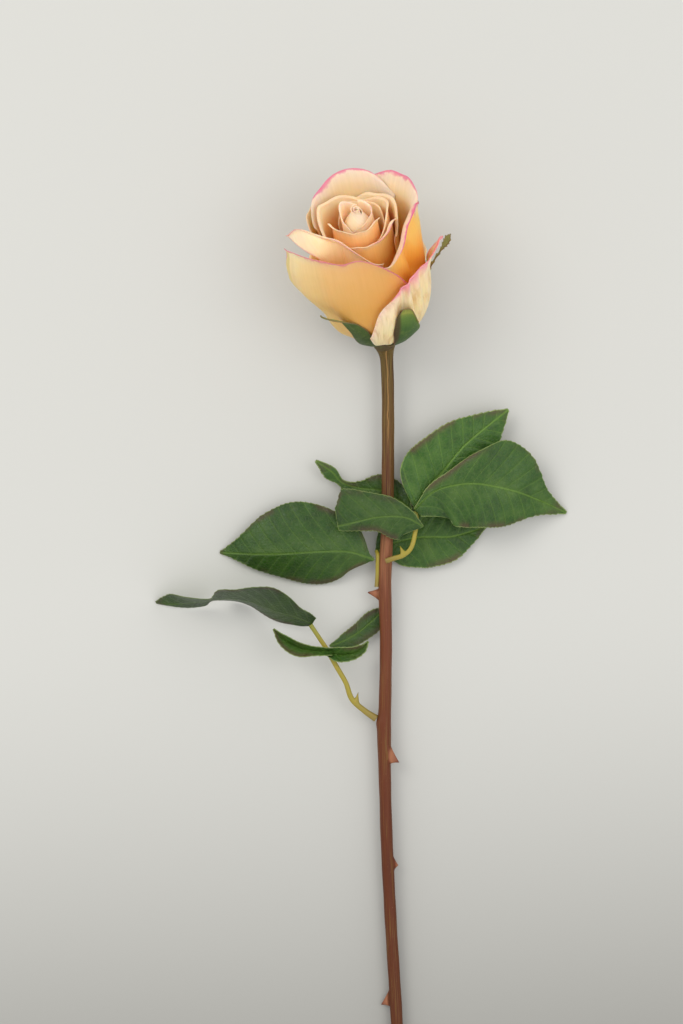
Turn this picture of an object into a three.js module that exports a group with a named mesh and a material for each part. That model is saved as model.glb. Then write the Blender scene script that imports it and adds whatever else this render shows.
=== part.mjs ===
import * as THREE from "three";

// Cut rose lying on its side, stem towards the viewer's feet, bloom nodding up
// Millimetres: x to the right, y along the stem towards the bloom, z up from the table

const DEG = Math.PI / 180;
const SHEET = 0.62;
const TABLE = -10;

// Colours and surfaces of the five kinds of piece
const LOOKS = {
  petal: { color: 0xf0c890, roughness: 0.6 },
  sepal: { color: 0x5a5a22, roughness: 0.7 },
  stem: { color: 0x67381f, roughness: 0.5 },
  leaf: { color: 0x4a5f33, roughness: 0.45 },
  stalk: { color: 0xaea058, roughness: 0.5 },
};

const rose = new THREE.Group();
const bloom = new THREE.Group();
const foliage = new THREE.Group();
rose.add(bloom, foliage);

function add(parent, name, look, geometry) {
  const mesh = new THREE.Mesh(geometry, new THREE.MeshStandardMaterial({ ...look, metalness: 0 }));
  mesh.name = name;
  parent.add(mesh);
}

// Small number helpers
function clamp(value, low, high) {
  return Math.min(high, Math.max(low, value));
}

function ease(value) {
  const t = clamp(value, 0, 1);
  return t * t * (3 - 2 * t);
}

// Value across a sheet, s from -1 to 1: a bend through three knots, or smooth through more
function acrossKnots(knots, s) {
  if (knots.length > 3) return alongKnots(knots, (s + 1) / 2);
  const bend = (knots[0] + knots[2]) / 2 - knots[1];
  const slope = (knots[2] - knots[0]) / 2;
  return knots[1] + slope * s + bend * s * s;
}

// Smooth value through evenly spaced knots, t from 0 to 1
function alongKnots(knots, t) {
  const last = knots.length - 1;
  const place = clamp(t, 0, 1) * last;
  const i = Math.min(last - 1, Math.floor(place));
  const f = place - i;
  const a = knots[Math.max(0, i - 1)];
  const b = knots[i];
  const c = knots[i + 1];
  const d = knots[Math.min(last, i + 2)];
  const m1 = (c - a) / 2;
  const m2 = (d - b) / 2;
  const f2 = f * f;
  const f3 = f2 * f;
  return (2 * f3 - 3 * f2 + 1) * b + (f3 - 2 * f2 + f) * m1 + (3 * f2 - 2 * f3) * c + (f3 - f2) * m2;
}

function alongPoints(points, t) {
  return new THREE.Vector3(
    alongKnots(points.map((p) => p[0]), t),
    alongKnots(points.map((p) => p[1]), t),
    alongKnots(points.map((p) => p[2]), t),
  );
}

// Closed thin solid from a grid of points in the middle of a sheet
function sheetSolid(grid, thick) {
  const rows = grid.length;
  const cols = grid[0].length;
  const upper = [];
  const lower = [];
  for (let i = 0; i < rows; i += 1) {
    for (let j = 0; j < cols; j += 1) {
      const along = new THREE.Vector3().subVectors(
        grid[Math.min(rows - 1, i + 1)][j], grid[Math.max(0, i - 1)][j]);
      const across = new THREE.Vector3().subVectors(
        grid[i][Math.min(cols - 1, j + 1)], grid[i][Math.max(0, j - 1)]);
      const normal = across.cross(along).normalize().multiplyScalar(thick / 2);
      upper.push(grid[i][j].clone().add(normal));
      lower.push(grid[i][j].clone().sub(normal));
    }
  }
  const points = upper.concat(lower);
  const under = rows * cols;
  const faces = [];
  for (let i = 0; i < rows - 1; i += 1) {
    for (let j = 0; j < cols - 1; j += 1) {
      const a = i * cols + j;
      const b = a + 1;
      const c = a + cols;
      const d = c + 1;
      faces.push([a, b, d], [a, d, c]);
      faces.push([under + a, under + d, under + b], [under + a, under + c, under + d]);
    }
  }
  const rim = [];
  for (let j = 0; j < cols - 1; j += 1) rim.push(j);
  for (let i = 0; i < rows - 1; i += 1) rim.push(i * cols + cols - 1);
  for (let j = cols - 1; j > 0; j -= 1) rim.push((rows - 1) * cols + j);
  for (let i = rows - 1; i > 0; i -= 1) rim.push(i * cols);
  for (let k = 0; k < rim.length; k += 1) {
    const a = rim[k];
    const b = rim[(k + 1) % rim.length];
    faces.push([a, under + a, under + b], [a, under + b, b]);
  }
  return solidFrom(points, faces);
}

function solidFrom(points, faces) {
  const geometry = new THREE.BufferGeometry();
  const numbers = [];
  for (const p of points) numbers.push(p.x, p.y, p.z);
  geometry.setAttribute("position", new THREE.Float32BufferAttribute(numbers, 3));
  geometry.setIndex(faces.flat());
  return geometry;
}

// Round bar along a line of points, with its own radius at each point
function barSolid(rings, sides, bumps) {
  const points = [];
  const faces = [];
  rings.forEach((ring, i) => {
    for (let j = 0; j < sides; j += 1) {
      const turn = (j / sides) * 2 * Math.PI;
      const reach = ring.radius;
      points.push(ring.at.clone()
        .addScaledVector(ring.side, Math.cos(turn) * reach)
        .addScaledVector(ring.face, Math.sin(turn) * reach));
    }
    if (i === 0) return;
    for (let j = 0; j < sides; j += 1) {
      const a = (i - 1) * sides + j;
      const b = (i - 1) * sides + ((j + 1) % sides);
      faces.push([a, b, b + sides], [a, b + sides, a + sides]);
    }
  });
  for (const bump of bumps) points[bump.ring * sides + bump.side].add(bump.move);
  const first = points.length;
  points.push(rings[0].at.clone(), rings[rings.length - 1].at.clone());
  const top = (rings.length - 1) * sides;
  for (let j = 0; j < sides; j += 1) {
    const next = (j + 1) % sides;
    faces.push([first, next, j]);
    faces.push([first + 1, top + j, top + next]);
  }
  return solidFrom(points, faces);
}

function ringsAlong(path, count) {
  const rings = [];
  for (let i = 0; i <= count; i += 1) {
    const t = i / count;
    const at = alongPoints(path, t);
    const step = alongPoints(path, Math.min(1, t + 0.01)).sub(alongPoints(path, Math.max(0, t - 0.01)));
    rings.push(ringAt(at, step, alongKnots(path.map((p) => p[3]), t)));
  }
  return rings;
}

function ringAt(at, step, radius) {
  const ahead = step.clone().normalize();
  const side = new THREE.Vector3(0, 0, 1).cross(ahead).normalize();
  const face = ahead.clone().cross(side);
  return { at, side, face, radius };
}

// Bloom frame: the bloom stands on the neck and nods 38 degrees up from the table
const BLOOM_LIFT = 38 * DEG;
const BLOOM_LEAN = 13 * DEG;
const axis = new THREE.Vector3(
  -Math.sin(BLOOM_LEAN) * Math.cos(BLOOM_LIFT),
  Math.cos(BLOOM_LEAN) * Math.cos(BLOOM_LIFT),
  Math.sin(BLOOM_LIFT),
);
const front = new THREE.Vector3(0, 0, 1).addScaledVector(axis, -axis.z).normalize();
const right = axis.clone().cross(front);

// Angle 0 faces up, 90 is to the right, 180 is next to the table
function bloomPoint(angle, radius, height) {
  return new THREE.Vector3()
    .addScaledVector(axis, height)
    .addScaledVector(front, radius * Math.cos(angle * DEG))
    .addScaledVector(right, radius * Math.sin(angle * DEG));
}

// Nested cups: layer 0 is the outer one at full width, a larger layer lies that many mm inside
const CUP_RADIUS = 24;
const CUP_FOOT = 4.4;
const CUP_NEST = 0.55;
const CUP_BELLY = 7.5;
const FOOT_RADIUS = 3.2;

function cupRadius(layer, height) {
  const rise = Math.max(0, height - CUP_FOOT - CUP_NEST * layer);
  const body = (CUP_RADIUS - layer) * (1 - Math.exp(-rise / CUP_BELLY));
  const open = 2.2 * clamp(1 - layer / 14, 0, 1.4) * clamp((height - 35) / 35, 0, 2) ** 2;
  const shut = 0.8 * clamp((layer - 8) / 10, 0, 1) * clamp((height - 45) / 25, 0, 2) ** 2;
  return body + open - shut;
}

function footHeight(layer) {
  const foot = Math.min(FOOT_RADIUS, 0.6 * (CUP_RADIUS - layer));
  return CUP_FOOT + CUP_NEST * layer - CUP_BELLY * Math.log(1 - foot / (CUP_RADIUS - layer));
}

// Half width of a petal from foot to rim
function petalWidth(v) {
  return 0.42 + 0.58 * Math.sin(clamp(v / 0.6, 0, 1) * Math.PI / 2);
}

const LIP_FROM = 0.72;

// What a petal does when its own line doesn't say
const PLAIN_PETAL = {
  corner: 0, flare: [0, 0, 0], flareAt: [25, 15], narrow: 1, lean: 0, growAt: [0.45, 0.5],
  shut: [0, 0, 0], shutAt: [54, 11],
};

// lowStart moves the foot of a sheet out and down, so that it starts beside the stem
function cupPoint(p, widthOf, v, s, lowStart) {
  const layer = acrossKnots(p.layer, s) - lowStart * (1 - v) ** 6;
  const corner = p.corner * clamp((Math.abs(s) - 0.5) / 0.5, 0, 1) ** 2;
  const rim = acrossKnots(p.top, s) - corner;
  const curl = Math.max(0.02, acrossKnots(p.lip, s) * DEG);
  const lipRise = p.roll * (curl < Math.PI / 2 ? Math.sin(curl) / curl : 1 / curl);
  const foot = footHeight(layer);
  const turned = (curl * Math.max(0, v - LIP_FROM)) / (1 - LIP_FROM);
  const height = foot + (rim - lipRise - foot) * Math.min(1, v / LIP_FROM)
    + (p.roll * Math.sin(turned)) / curl;
  const flare = acrossKnots(p.flare, s) * ease((height - p.flareAt[0]) / p.flareAt[1]);
  const shut = acrossKnots(p.shut, s) * ease((height - p.shutAt[0]) / p.shutAt[1]);
  const radius = cupRadius(layer, height) + (p.roll * (1 - Math.cos(turned))) / curl
    + flare * (1 - 0.35 * ease((height - 44) / 14)) - shut;
  const grown = ease((v - p.growAt[0]) / p.growAt[1]);
  const narrow = s < 0 ? p.narrow : 1;
  const width = widthOf(v) * (narrow + (1 - narrow) * grown);
  return bloomPoint(p.at + p.lean * (1 - grown) + s * p.span * width, radius, height);
}

function cupSheet(own, widthOf, rows, cols, thick, lowStart) {
  const p = { ...PLAIN_PETAL, ...own };
  const grid = [];
  for (let i = 0; i <= rows; i += 1) {
    const row = [];
    for (let j = 0; j <= cols; j += 1) {
      const point = cupPoint(p, widthOf, i / rows, (2 * j) / cols - 1, lowStart);
      point.z = Math.max(point.z, TABLE + thick / 2);
      row.push(point);
    }
    grid.push(row);
  }
  return grid;
}

const PETAL_ROWS = 8;
const PETAL_COLS = 12;
const PETALS = {
  petal_outer_back: {
    at: 180, span: 58, layer: [-4.4, -5, -4.4],
    top: [38, 42, 38],
    lip: [20, 30, 20], roll: 6, corner: 9,
  },
  petal_outer_left: {
    at: -147, span: 47, layer: [-2.4, -1.6, 3.2],
    top: [44, 46, 36],
    lip: [20, 30, 5], roll: 6, corner: 9,
  },
  petal_outer_right: {
    at: 41, span: 56, layer: [-0.6, -0.4, 0.1],
    top: [20, 32.5, 37, 41.3, 44.3, 45.3, 46.2, 46.8, 41],
    lip: [10, 25, 50], roll: 7, flare: [0, 0, 5], flareAt: [34, 12],
  },
  petal_front: {
    at: -27, span: 68, layer: [1.6, 1.4, 1.2],
    top: [54, 56.3, 58, 57.9, 57.1, 57.8, 53.3, 46, 36],
    lip: [30, 20, 20], roll: 5, flare: [9, 0, 0],
  },
  petal_back_right: {
    at: 126, span: 50, layer: [4.2, 3.6, 2.4],
    top: [58, 65, 67.4, 69, 67.4, 67.6, 66, 63.5, 60],
    lip: [20, 30, 30], roll: 6, flare: [3.4, 2.2, 0], flareAt: [59, 8],
  },
  petal_fold_right: {
    at: 62, span: 56, layer: [5, 5.2, 5, 4.2, 3, 1.9, 1.4, 1.3, 1.5],
    top: [51.5, 50.6, 55.4, 60.8, 64.3, 66, 62.5, 60, 57],
    lip: [60, 68, 75, 80, 75, 55, 25, 15, 10], roll: 5.5, shut: [1, 1, 0],
  },
  petal_back: {
    at: 196, span: 67, layer: [4.8, 6, 7.5],
    top: [60, 66, 69.5, 71.3, 71, 69.3, 67, 63.5, 60],
    lip: [20, 30, 20], roll: 6,
  },
  petal_mid_left: {
    at: -122, span: 40, layer: [4.1, 4.3, 7.5],
    top: [60, 62.5, 60.6, 57, 52],
    lip: [10, 10, 10], roll: 5,
  },
  petal_tongue: {
    at: -34, span: 53, layer: [3, 8.5, 9],
    top: [62, 67.7, 67.5, 65.6, 63.4, 59.2, 54.6, 51, 49],
    lip: [70, 60, 40], roll: 5, flare: [6, 0, 0], flareAt: [52, 10], narrow: 0.25, growAt: [0.64, 0.36],
  },
  petal_ring_right: {
    at: 100, span: 75, layer: [10, 10.2, 7.8],
    top: [52.8, 54.1, 56.8, 60, 63.4, 63.6, 62.8, 61.8, 59.5],
    lip: [20, 20, 20], roll: 4,
  },
  petal_ring_front: {
    at: 20, span: 55, layer: [12.5, 12.5, 11.4],
    top: [57, 56.3, 56.4, 56.6, 57.2, 58, 58.9, 61.3, 60],
    lip: [30, 50, 60], roll: 4,
  },
  petal_ring_left: {
    at: -125, span: 75, layer: [12.2, 10.6, 9.6],
    top: [60.5, 63.1, 65.2, 66.1, 66.5, 66.7, 64, 59, 57.5],
    lip: [0, 10, 20], roll: 4,
  },
  petal_ring_back: {
    at: 105, span: 75, layer: [13.4, 12, 9.8],
    top: [56.1, 58.6, 62.8, 64.5, 63.8, 63.3, 62.4, 60.8, 58.5],
    lip: [0, 10, 10], roll: 4,
  },
  petal_heart_front: {
    at: -12, span: 72, layer: [13.2, 14.9, 15.8],
    top: [63.2, 62.6, 61.8, 61.2, 61.1, 61.4, 62.1, 62.7, 62.6],
    lip: [40, 20, 40], roll: 3,
  },
  petal_heart_back: {
    at: 160, span: 75, layer: [14.4, 14.2, 14.2],
    top: [61, 63, 62],
    lip: [0, 0, 0], roll: 4, corner: 5,
  },
  petal_bud_left: {
    at: -98, span: 84, layer: [16.4, 17.2, 17],
    top: [63, 65.5, 67.3, 68.5, 67, 63.9, 62.4, 60.2, 58],
    lip: [0, 0, 0], roll: 4,
  },
  petal_bud_right: {
    at: 66, span: 102, layer: [18.2, 18, 17.6],
    top: [58.6, 60.8, 62.1, 63, 63.9, 65, 65.2, 65.6, 65.2],
    lip: [0, 0, 0], roll: 4,
  },
  petal_bud_core: {
    at: 10, span: 200, layer: [18.4, 18.4, 18.4, 19.1, 19.2, 19.3, 19.4, 19.5, 19.7],
    top: [66.8, 66.8, 66, 64.8, 63.8, 64, 65, 66.2, 66.8],
    lip: [0, 0, 0], roll: 4, shut: [2.7, 3.1, 3.6, 3.3, 2.8, 2.2, 1.9, 2.4, 3], shutAt: [59, 6.5],
  },
};

for (const [name, petal] of Object.entries(PETALS)) {
  const grid = cupSheet(petal, petalWidth, PETAL_ROWS, PETAL_COLS, SHEET, 0);
  add(bloom, name, LOOKS.petal, sheetSolid(grid, SHEET));
}

// Sepals hang outside the petals, the right one stands off and ends leafy
const SEPAL_SHEET = 0.8;
const SEPAL_START = 5.6;
const SEPAL_ROWS = 12;
const SEPALS = {
  sepal_left: {
    at: -52, span: 7, layer: [-1.6, -1.6, -1.6], top: [32, 32, 32],
    lip: [5, 5, 5], roll: 3, flare: [6, 6, 6], flareAt: [26, 7], lean: 26, growAt: [0.42, 0.5],
    widths: [2, 2, 1.95, 1.85, 1.6, 1.35, 1, 0.65, 0.4, 0.2, 0.05],
  },
  sepal_front: {
    at: 20, span: 12, layer: [-1.9, -1.9, -1.9], top: [31.4, 32.2, 27],
    lip: [35, 35, 35], roll: 4,
    widths: [2, 1, 0.75, 0.8, 0.88, 0.95, 1, 1, 0.97, 0.9, 0.75],
  },
  sepal_right: {
    at: 104, span: 6, layer: [-1, -1, -1], top: [39, 39, 39],
    lip: [20, 20, 20], roll: 5, flare: [10, 10, 10],
    widths: [2.3, 1.6, 1.3, 1.1, 0.7, 0.3, 0.12, 0.1, 0.42, 0.5, 0.05],
  },
  sepal_back: {
    at: 150, span: 11, layer: [-6.4, -6.4, -6.4], top: [14, 14, 14],
    lip: [0, 0, 0], roll: 4,
    widths: [2.3, 1.5, 1.15, 1.05, 1, 0.95, 0.85, 0.7, 0.5, 0.3, 0.08],
  },
  sepal_under: {
    at: -136, span: 11, layer: [-6.4, -6.4, -6.4], top: [18, 18, 18],
    lip: [0, 0, 0], roll: 4,
    widths: [2.3, 1.5, 1.15, 1.05, 1, 0.95, 0.85, 0.7, 0.5, 0.3, 0.08],
  },
};

for (const [name, sepal] of Object.entries(SEPALS)) {
  const lowStart = Math.max(0, SEPAL_START + sepal.layer[1]);
  const widthOf = (v) => alongKnots(sepal.widths, v);
  const grid = cupSheet(sepal, widthOf, SEPAL_ROWS, 4, SEPAL_SHEET, lowStart);
  add(bloom, name, LOOKS.sepal, sheetSolid(grid, SEPAL_SHEET));
}

// Seat of the sepals on top of the stem
const seat = [
  { height: 0.35, radius: 4.2 },
  { height: 0.8, radius: 4.6 },
  { height: 1.2, radius: 4.3 },
  { height: 1.5, radius: 2.4 },
  { height: 2.4, radius: 2.1 },
  { height: 15, radius: 2.1 },
].map((r) => ringAt(bloomPoint(0, 0, r.height), axis, r.radius));
add(bloom, "receptacle", LOOKS.sepal, barSolid(seat, 12, []));

// Stem from the cut end to the neck, millimetres with the radius last
const STEM = [
  [6.8, -329, -7.55, 2.45],
  [5, -275, -6.6, 2.4],
  [2.6, -234, -5.9, 2.4],
  [0.9, -201, -5.3, 2.45],
  [0.1, -176, -4.85, 2.45],
  [-0.3, -155, -4.5, 2.8],
  [0.1, -142, -4.25, 2.5],
  [0.4, -118, -3.8, 2.45],
  [0, -95, -3.45, 2.6],
  [0.9, -72, -3, 2.5],
  [1.2, -45, -2.55, 2.5],
  [1.2, -20, -2.1, 2.5],
  [0.8, -7.5, -1.8, 2.6],
  [0.45, -3, -1.35, 3.1],
  [0, 0, 0, 4.2],
];
const STEM_SIDES = 10;

// Thorns: place along the stem, side of the bar and how far the tip stands out
const THORNS = [
  { y: -100.5, side: 0, move: [-4.9, 1.6, 0.2] },
  { y: -164, side: 4, move: [3.9, -3.2, 1.4] },
  { y: -208, side: 5, move: [1.8, -0.8, 0.2] },
  { y: -262, side: 9, move: [-4, -3, -0.4] },
  { y: -301, side: 6, move: [3.6, -2.8, -0.6] },
];
const THORN_BASE = 2.2;

function stemPlace(y) {
  let low = 0;
  let high = 1;
  for (let i = 0; i < 40; i += 1) {
    const middle = (low + high) / 2;
    if (alongPoints(STEM, middle).y < y) low = middle;
    else high = middle;
  }
  return low;
}

function stemRing(y) {
  const t = stemPlace(y);
  const step = alongPoints(STEM, Math.min(1, t + 0.01)).sub(alongPoints(STEM, Math.max(0, t - 0.01)));
  return ringAt(alongPoints(STEM, t), step, alongKnots(STEM.map((p) => p[3]), t));
}

const stations = [-329, -1.6];
for (let y = -318; y < -8; y += 10) stations.push(y);
for (const thorn of THORNS) stations.push(thorn.y - THORN_BASE, thorn.y, thorn.y + THORN_BASE);
stations.push(-5.5, -3);
const stemStations = [...new Set(stations)]
  .filter((y) => THORNS.every((t) => y === t.y || Math.abs(y - t.y) >= THORN_BASE))
  .sort((a, b) => a - b);
const stemRings = stemStations.map(stemRing);
stemRings.push(ringAt(bloomPoint(0, 0, 0), axis, 4.2));
const thornTips = THORNS.map((thorn) => ({
  ring: stemStations.indexOf(thorn.y),
  side: thorn.side,
  move: new THREE.Vector3(...thorn.move),
}));
add(rose, "stem", LOOKS.stem, barSolid(stemRings, STEM_SIDES, thornTips));

// Leaf blades: a rib of points and the width on each side of it
const LEAF_SHEET = 0.6;

function leafSheet(p, rows, halfCols) {
  const grid = [];
  for (let i = 0; i <= rows; i += 1) {
    const t = i / rows;
    const at = alongPoints(p.rib, t);
    const ahead = alongPoints(p.rib, Math.min(1, t + 0.02))
      .sub(alongPoints(p.rib, Math.max(0, t - 0.02))).normalize();
    const flat = new THREE.Vector3(0, 0, 1).cross(ahead).normalize();
    const lift = ahead.clone().cross(flat);
    const tooth = i % 2 === 1;
    const row = [];
    for (let j = -halfCols; j <= halfCols; j += 1) {
      const q = j / halfCols;
      const side = q > 0 ? p.left : p.right;
      const tilt = alongKnots(q > 0 ? p.leftTilt : p.rightTilt, t) * DEG;
      let reach = Math.max(0.45, alongKnots(side, t)) * Math.abs(q);
      const edge = Math.abs(q) === 1;
      if (edge && tooth && reach > 2) reach += 0.3 + 0.04 * reach;
      const droop = p.sag * reach * reach * 0.01;
      const point = at.clone()
        .addScaledVector(flat, Math.sign(q) * reach * Math.cos(tilt))
        .addScaledVector(lift, reach * Math.sin(tilt) - droop)
        .addScaledVector(ahead, edge && tooth ? 0.6 : 0);
      point.z = Math.max(point.z, TABLE + LEAF_SHEET / 2);
      row.push(point);
    }
    grid.push(row);
  }
  return grid;
}

const LEAFLETS = {
  leaf_a_front: {
    rib: [
      [15, -72.6, 3.2], [9.2, -69.3, 4.4], [2.7, -68.5, 5.2], [-3.7, -69, 5.4], [-9.2, -70.2, 5.2],
      [-14.7, -71.6, 4.8], [-18.8, -72.3, 4.2],
    ],
    left: [0.5, 8.2, 8.5, 5.4, 4, 2.6, 1.8],
    right: [0.5, 3.2, 7.2, 10.4, 13, 14.2, 7.4],
    leftTilt: [-12, -12], rightTilt: [8, 8], sag: 1,
  },
  leaf_a_right: {
    rib: [
      [11.8, -65.8, 1.8], [19.2, -58.9, 3.4], [27.5, -56.2, 4.6], [35.8, -55.5, 5.1],
      [44, -56.7, 4.4], [53.2, -58.9, 1.6], [63.3, -62.7, -3.6], [73, -67, -9.4],
    ],
    left: [0.5, 2.9, 6.2, 12.1, 18.4, 15.8, 4.8, 0.5],
    right: [3.6, 13.4, 16.5, 17, 16.1, 13.4, 5.5, 0.5],
    leftTilt: [8, 8], rightTilt: [8, 8], sag: 1,
  },
  leaf_a_upper: {
    rib: [
      [12.1, -65.6, 0.2], [17, -57, 0.4], [22.8, -51, 0.6], [31, -41, 0.8], [39.6, -33.5, -0.4],
      [49.4, -25.8, -4],
    ],
    left: [0.5, 13, 15, 11.6, 6.6, 0.5],
    right: [0.5, 8, 13, 14.5, 9, 0.5],
    leftTilt: [10, 10], rightTilt: [-8, -8], sag: 1,
  },
  leaf_a_behind: {
    rib: [
      [10.6, -66, -1.2], [5, -61.5, -6.4], [-2, -58, -7], [-10, -57.2, -7], [-17, -55, -6],
      [-21.5, -50.5, -4.4], [-27.6, -46.4, -3.4],
    ],
    left: [0.5, 5, 9, 8, 1.8, 3.2, 0.5],
    right: [0.5, 5, 6, 2.6, 1.1, 1.9, 0.5],
    leftTilt: [0, 0], rightTilt: [4, 4], sag: 0,
  },
  leaf_b_left: {
    rib: [
      [-4.5, -86, -0.9], [-7.6, -84.7, -0.9], [-14.7, -82.7, -0.6], [-23.9, -82.6, -0.2],
      [-33.1, -83.1, 0], [-42.3, -83.6, -0.8], [-51.5, -83.7, -3], [-59.7, -83.4, -6],
      [-66.2, -83.1, -9.4],
    ],
    left: [0.5, 0.8, 10.2, 14.1, 13.4, 10.3, 7.1, 2.9, 0.5],
    right: [0.5, 4, 12, 17.4, 19.8, 18.5, 13.7, 5.2, 0.5],
    leftTilt: [-28, -28], rightTilt: [2, 2], sag: 0.8,
  },
  leaf_b_behind: {
    rib: [
      [-3.6, -82.4, -6.6], [3, -79.4, -7.2], [12.4, -77.2, -7], [19, -76.8, -6.8],
      [26, -76.8, -6.8], [33, -75.2, -7.6], [40.4, -72.8, -9.2],
    ],
    left: [0.5, 9, 12, 12, 11, 7, 0.5],
    right: [0.5, 8.6, 11.6, 11.6, 9.6, 5.2, 0.5],
    leftTilt: [3, 3], rightTilt: [3, 3], sag: 0.5,
  },
  leaf_c_end: {
    rib: [
      [-29.2, -111.4, 0.6], [-36, -108.6, 2], [-44, -106.4, 3], [-54, -102.6, 3], [-64, -101.4, 2],
      [-74, -102.6, -0.6], [-84, -103.6, -5], [-92, -103.2, -9],
    ],
    left: [0.5, 7, 9.2, 10.5, 9.5, 7, 2.6, 0.5],
    right: [2, 6, 15.5, 16.5, 12, 9, 6.5, 0.5],
    leftTilt: [-55, -60, -68, -80, -84, -75, -60, -50], rightTilt: [50, 55, 58, 69, 74, 77, 55, 50], sag: 0,
  },
  leaf_c_left: {
    rib: [
      [-21.4, -122.2, 1.7], [-28.6, -122, 3], [-34.5, -120.8, 4], [-39.8, -117.8, 4.6],
      [-44.4, -113.6, 4.5],
    ],
    left: [0.5, 2.8, 5, 4.2, 0.5],
    right: [0.5, 2.3, 3, 2.5, 0.5],
    leftTilt: [50, 50], rightTilt: [50, 50], sag: 0,
  },
  leaf_c_low: {
    rib: [
      [-20.6, -124.8, 0.9], [-16.1, -123.5, 2.6], [-10.8, -122, 3.4], [-6.8, -118.5, 3],
    ],
    left: [0.5, 4.2, 3.4, 0.5],
    right: [0.5, 4.1, 3.2, 0.5],
    leftTilt: [45, 45], rightTilt: [45, 45], sag: 0,
  },
  leaf_c_upper: {
    rib: [
      [-22, -120.4, -1.4], [-16, -118, -3], [-10, -114.4, -5.4], [-4, -110.2, -7.2],
      [1.4, -106.4, -7.6],
    ],
    left: [0.5, 2.6, 3.6, 3.8, 0.5],
    right: [0.5, 4.5, 6, 5.4, 0.5],
    leftTilt: [0, 0], rightTilt: [0, 0], sag: 0,
  },
};

for (const [name, leaflet] of Object.entries(LEAFLETS)) {
  add(foliage, name, LOOKS.leaf, sheetSolid(leafSheet(leaflet, 17, 3), LEAF_SHEET));
}

// Leaf stalks, millimetres with the radius last
const STALKS = {
  stalk_a: [
    [0.4, -86.4, 0.8, 1.05], [3.5, -85.3, 1.9, 1], [7, -84.2, 2.1, 0.95], [9.8, -82, 2.1, 0.9],
    [11.2, -79, 1.9, 0.9], [12.2, -74, 1.2, 0.9], [12.6, -70, 0.6, 0.9], [12.2, -66.4, 0.3, 0.8],
  ],
  stalk_b: [
    [-3.6, -96.8, -2.6, 1], [-3.35, -92, -1.9, 0.85], [-3.15, -87, -1.7, 0.85], [-3.05, -84, -2.4, 0.8],
    [-3.5, -82.4, -4.8, 0.75],
  ],
  stalk_c: [
    [-3.6, -149.6, -4.2, 1.5], [-8, -146.6, -3.4, 1.2], [-13.2, -141.8, -2.2, 1.1], [-15.7, -135.1, -1.2, 1],
    [-19.5, -128.5, -0.6, 1], [-23.4, -121.6, -0.2, 0.95], [-26.4, -117, 0, 0.9], [-28.9, -112.6, 0.2, 0.8],
  ],
};

// Small spurs at the foot of a leaf stalk
const SPURS = {
  stalk_a: [{ ring: 5, side: 0, move: new THREE.Vector3(-1.3, 3, 0.2) }],
  stalk_b: [],
  stalk_c: [{ ring: 4, side: 3, move: new THREE.Vector3(0.6, 3.6, 0.4) }],
};

for (const [name, path] of Object.entries(STALKS)) {
  add(foliage, name, LOOKS.stalk, barSolid(ringsAlong(path, 16), 6, SPURS[name]));
}

// Origin at the middle of the footprint, on the table
const box = new THREE.Box3().setFromObject(rose);
rose.position.set(-(box.min.x + box.max.x) / 2, -(box.min.y + box.max.y) / 2, -box.min.z);

export default rose;
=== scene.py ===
"""Cut rose lying on a pale surface, seen from straight above."""
import math

import bpy
import numpy as np
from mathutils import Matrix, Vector


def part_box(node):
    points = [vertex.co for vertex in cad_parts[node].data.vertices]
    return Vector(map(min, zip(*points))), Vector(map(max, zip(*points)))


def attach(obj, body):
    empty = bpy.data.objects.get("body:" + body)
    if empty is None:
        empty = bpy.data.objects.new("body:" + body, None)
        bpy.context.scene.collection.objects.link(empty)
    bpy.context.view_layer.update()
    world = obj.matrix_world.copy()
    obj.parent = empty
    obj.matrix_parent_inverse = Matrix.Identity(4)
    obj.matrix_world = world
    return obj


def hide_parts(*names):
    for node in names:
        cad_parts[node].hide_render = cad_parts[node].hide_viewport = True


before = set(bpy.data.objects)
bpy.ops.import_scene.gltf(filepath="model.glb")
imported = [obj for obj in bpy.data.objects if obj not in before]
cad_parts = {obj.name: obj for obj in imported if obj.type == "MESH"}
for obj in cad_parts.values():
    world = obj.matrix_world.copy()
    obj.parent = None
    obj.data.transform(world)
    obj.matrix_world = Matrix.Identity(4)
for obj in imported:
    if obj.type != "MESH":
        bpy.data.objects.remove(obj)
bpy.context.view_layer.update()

# Lengths of the rose are in millimetres and its angles in degrees, up to where a mesh is made
MM = 0.001
DEG = math.pi / 180
UP = np.array([0.0, 0.0, 1.0])
TABLE = -10.0
PETAL_LOWEST = TABLE + 0.31
LEAF_LOWEST = TABLE + 0.3


# Small number helpers
def clamp(value, low, high):
    return np.minimum(high, np.maximum(low, value))


def ease(value):
    t = clamp(value, 0.0, 1.0)
    return t * t * (3 - 2 * t)


def bell(value):
    return np.exp(-value * value)


def unit(vectors):
    return vectors / np.maximum(np.linalg.norm(vectors, axis=-1, keepdims=True), 1e-9)


def angle_from(angle, middle):
    """Degrees from middle to angle, from -180 to 180."""
    return (angle - middle + 180) % 360 - 180


def along_knots(knots, t):
    """Smooth value or point through evenly spaced knots, t from 0 to 1. A single number stays the same."""
    knots = np.asarray(knots, float)
    if knots.ndim == 0:
        return knots + 0 * t
    last = len(knots) - 1
    place = clamp(t, 0.0, 1.0) * last
    i = np.minimum(last - 1, np.floor(place).astype(int))
    f = place - i
    a = knots[np.maximum(0, i - 1)]
    b = knots[i]
    c = knots[i + 1]
    d = knots[np.minimum(last, i + 2)]
    if knots.ndim > 1:
        f = f[..., None]
    f2 = f * f
    f3 = f2 * f
    start = (c - a) / 2
    end = (d - b) / 2
    return (2 * f3 - 3 * f2 + 1) * b + (f3 - 2 * f2 + f) * start + (3 * f2 - 2 * f3) * c + (f3 - f2) * end


def path_ahead(path, t, step):
    """Direction of a path of knots at t."""
    return unit(along_knots(path, np.minimum(1, t + step)) - along_knots(path, np.maximum(0, t - step)))


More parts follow.
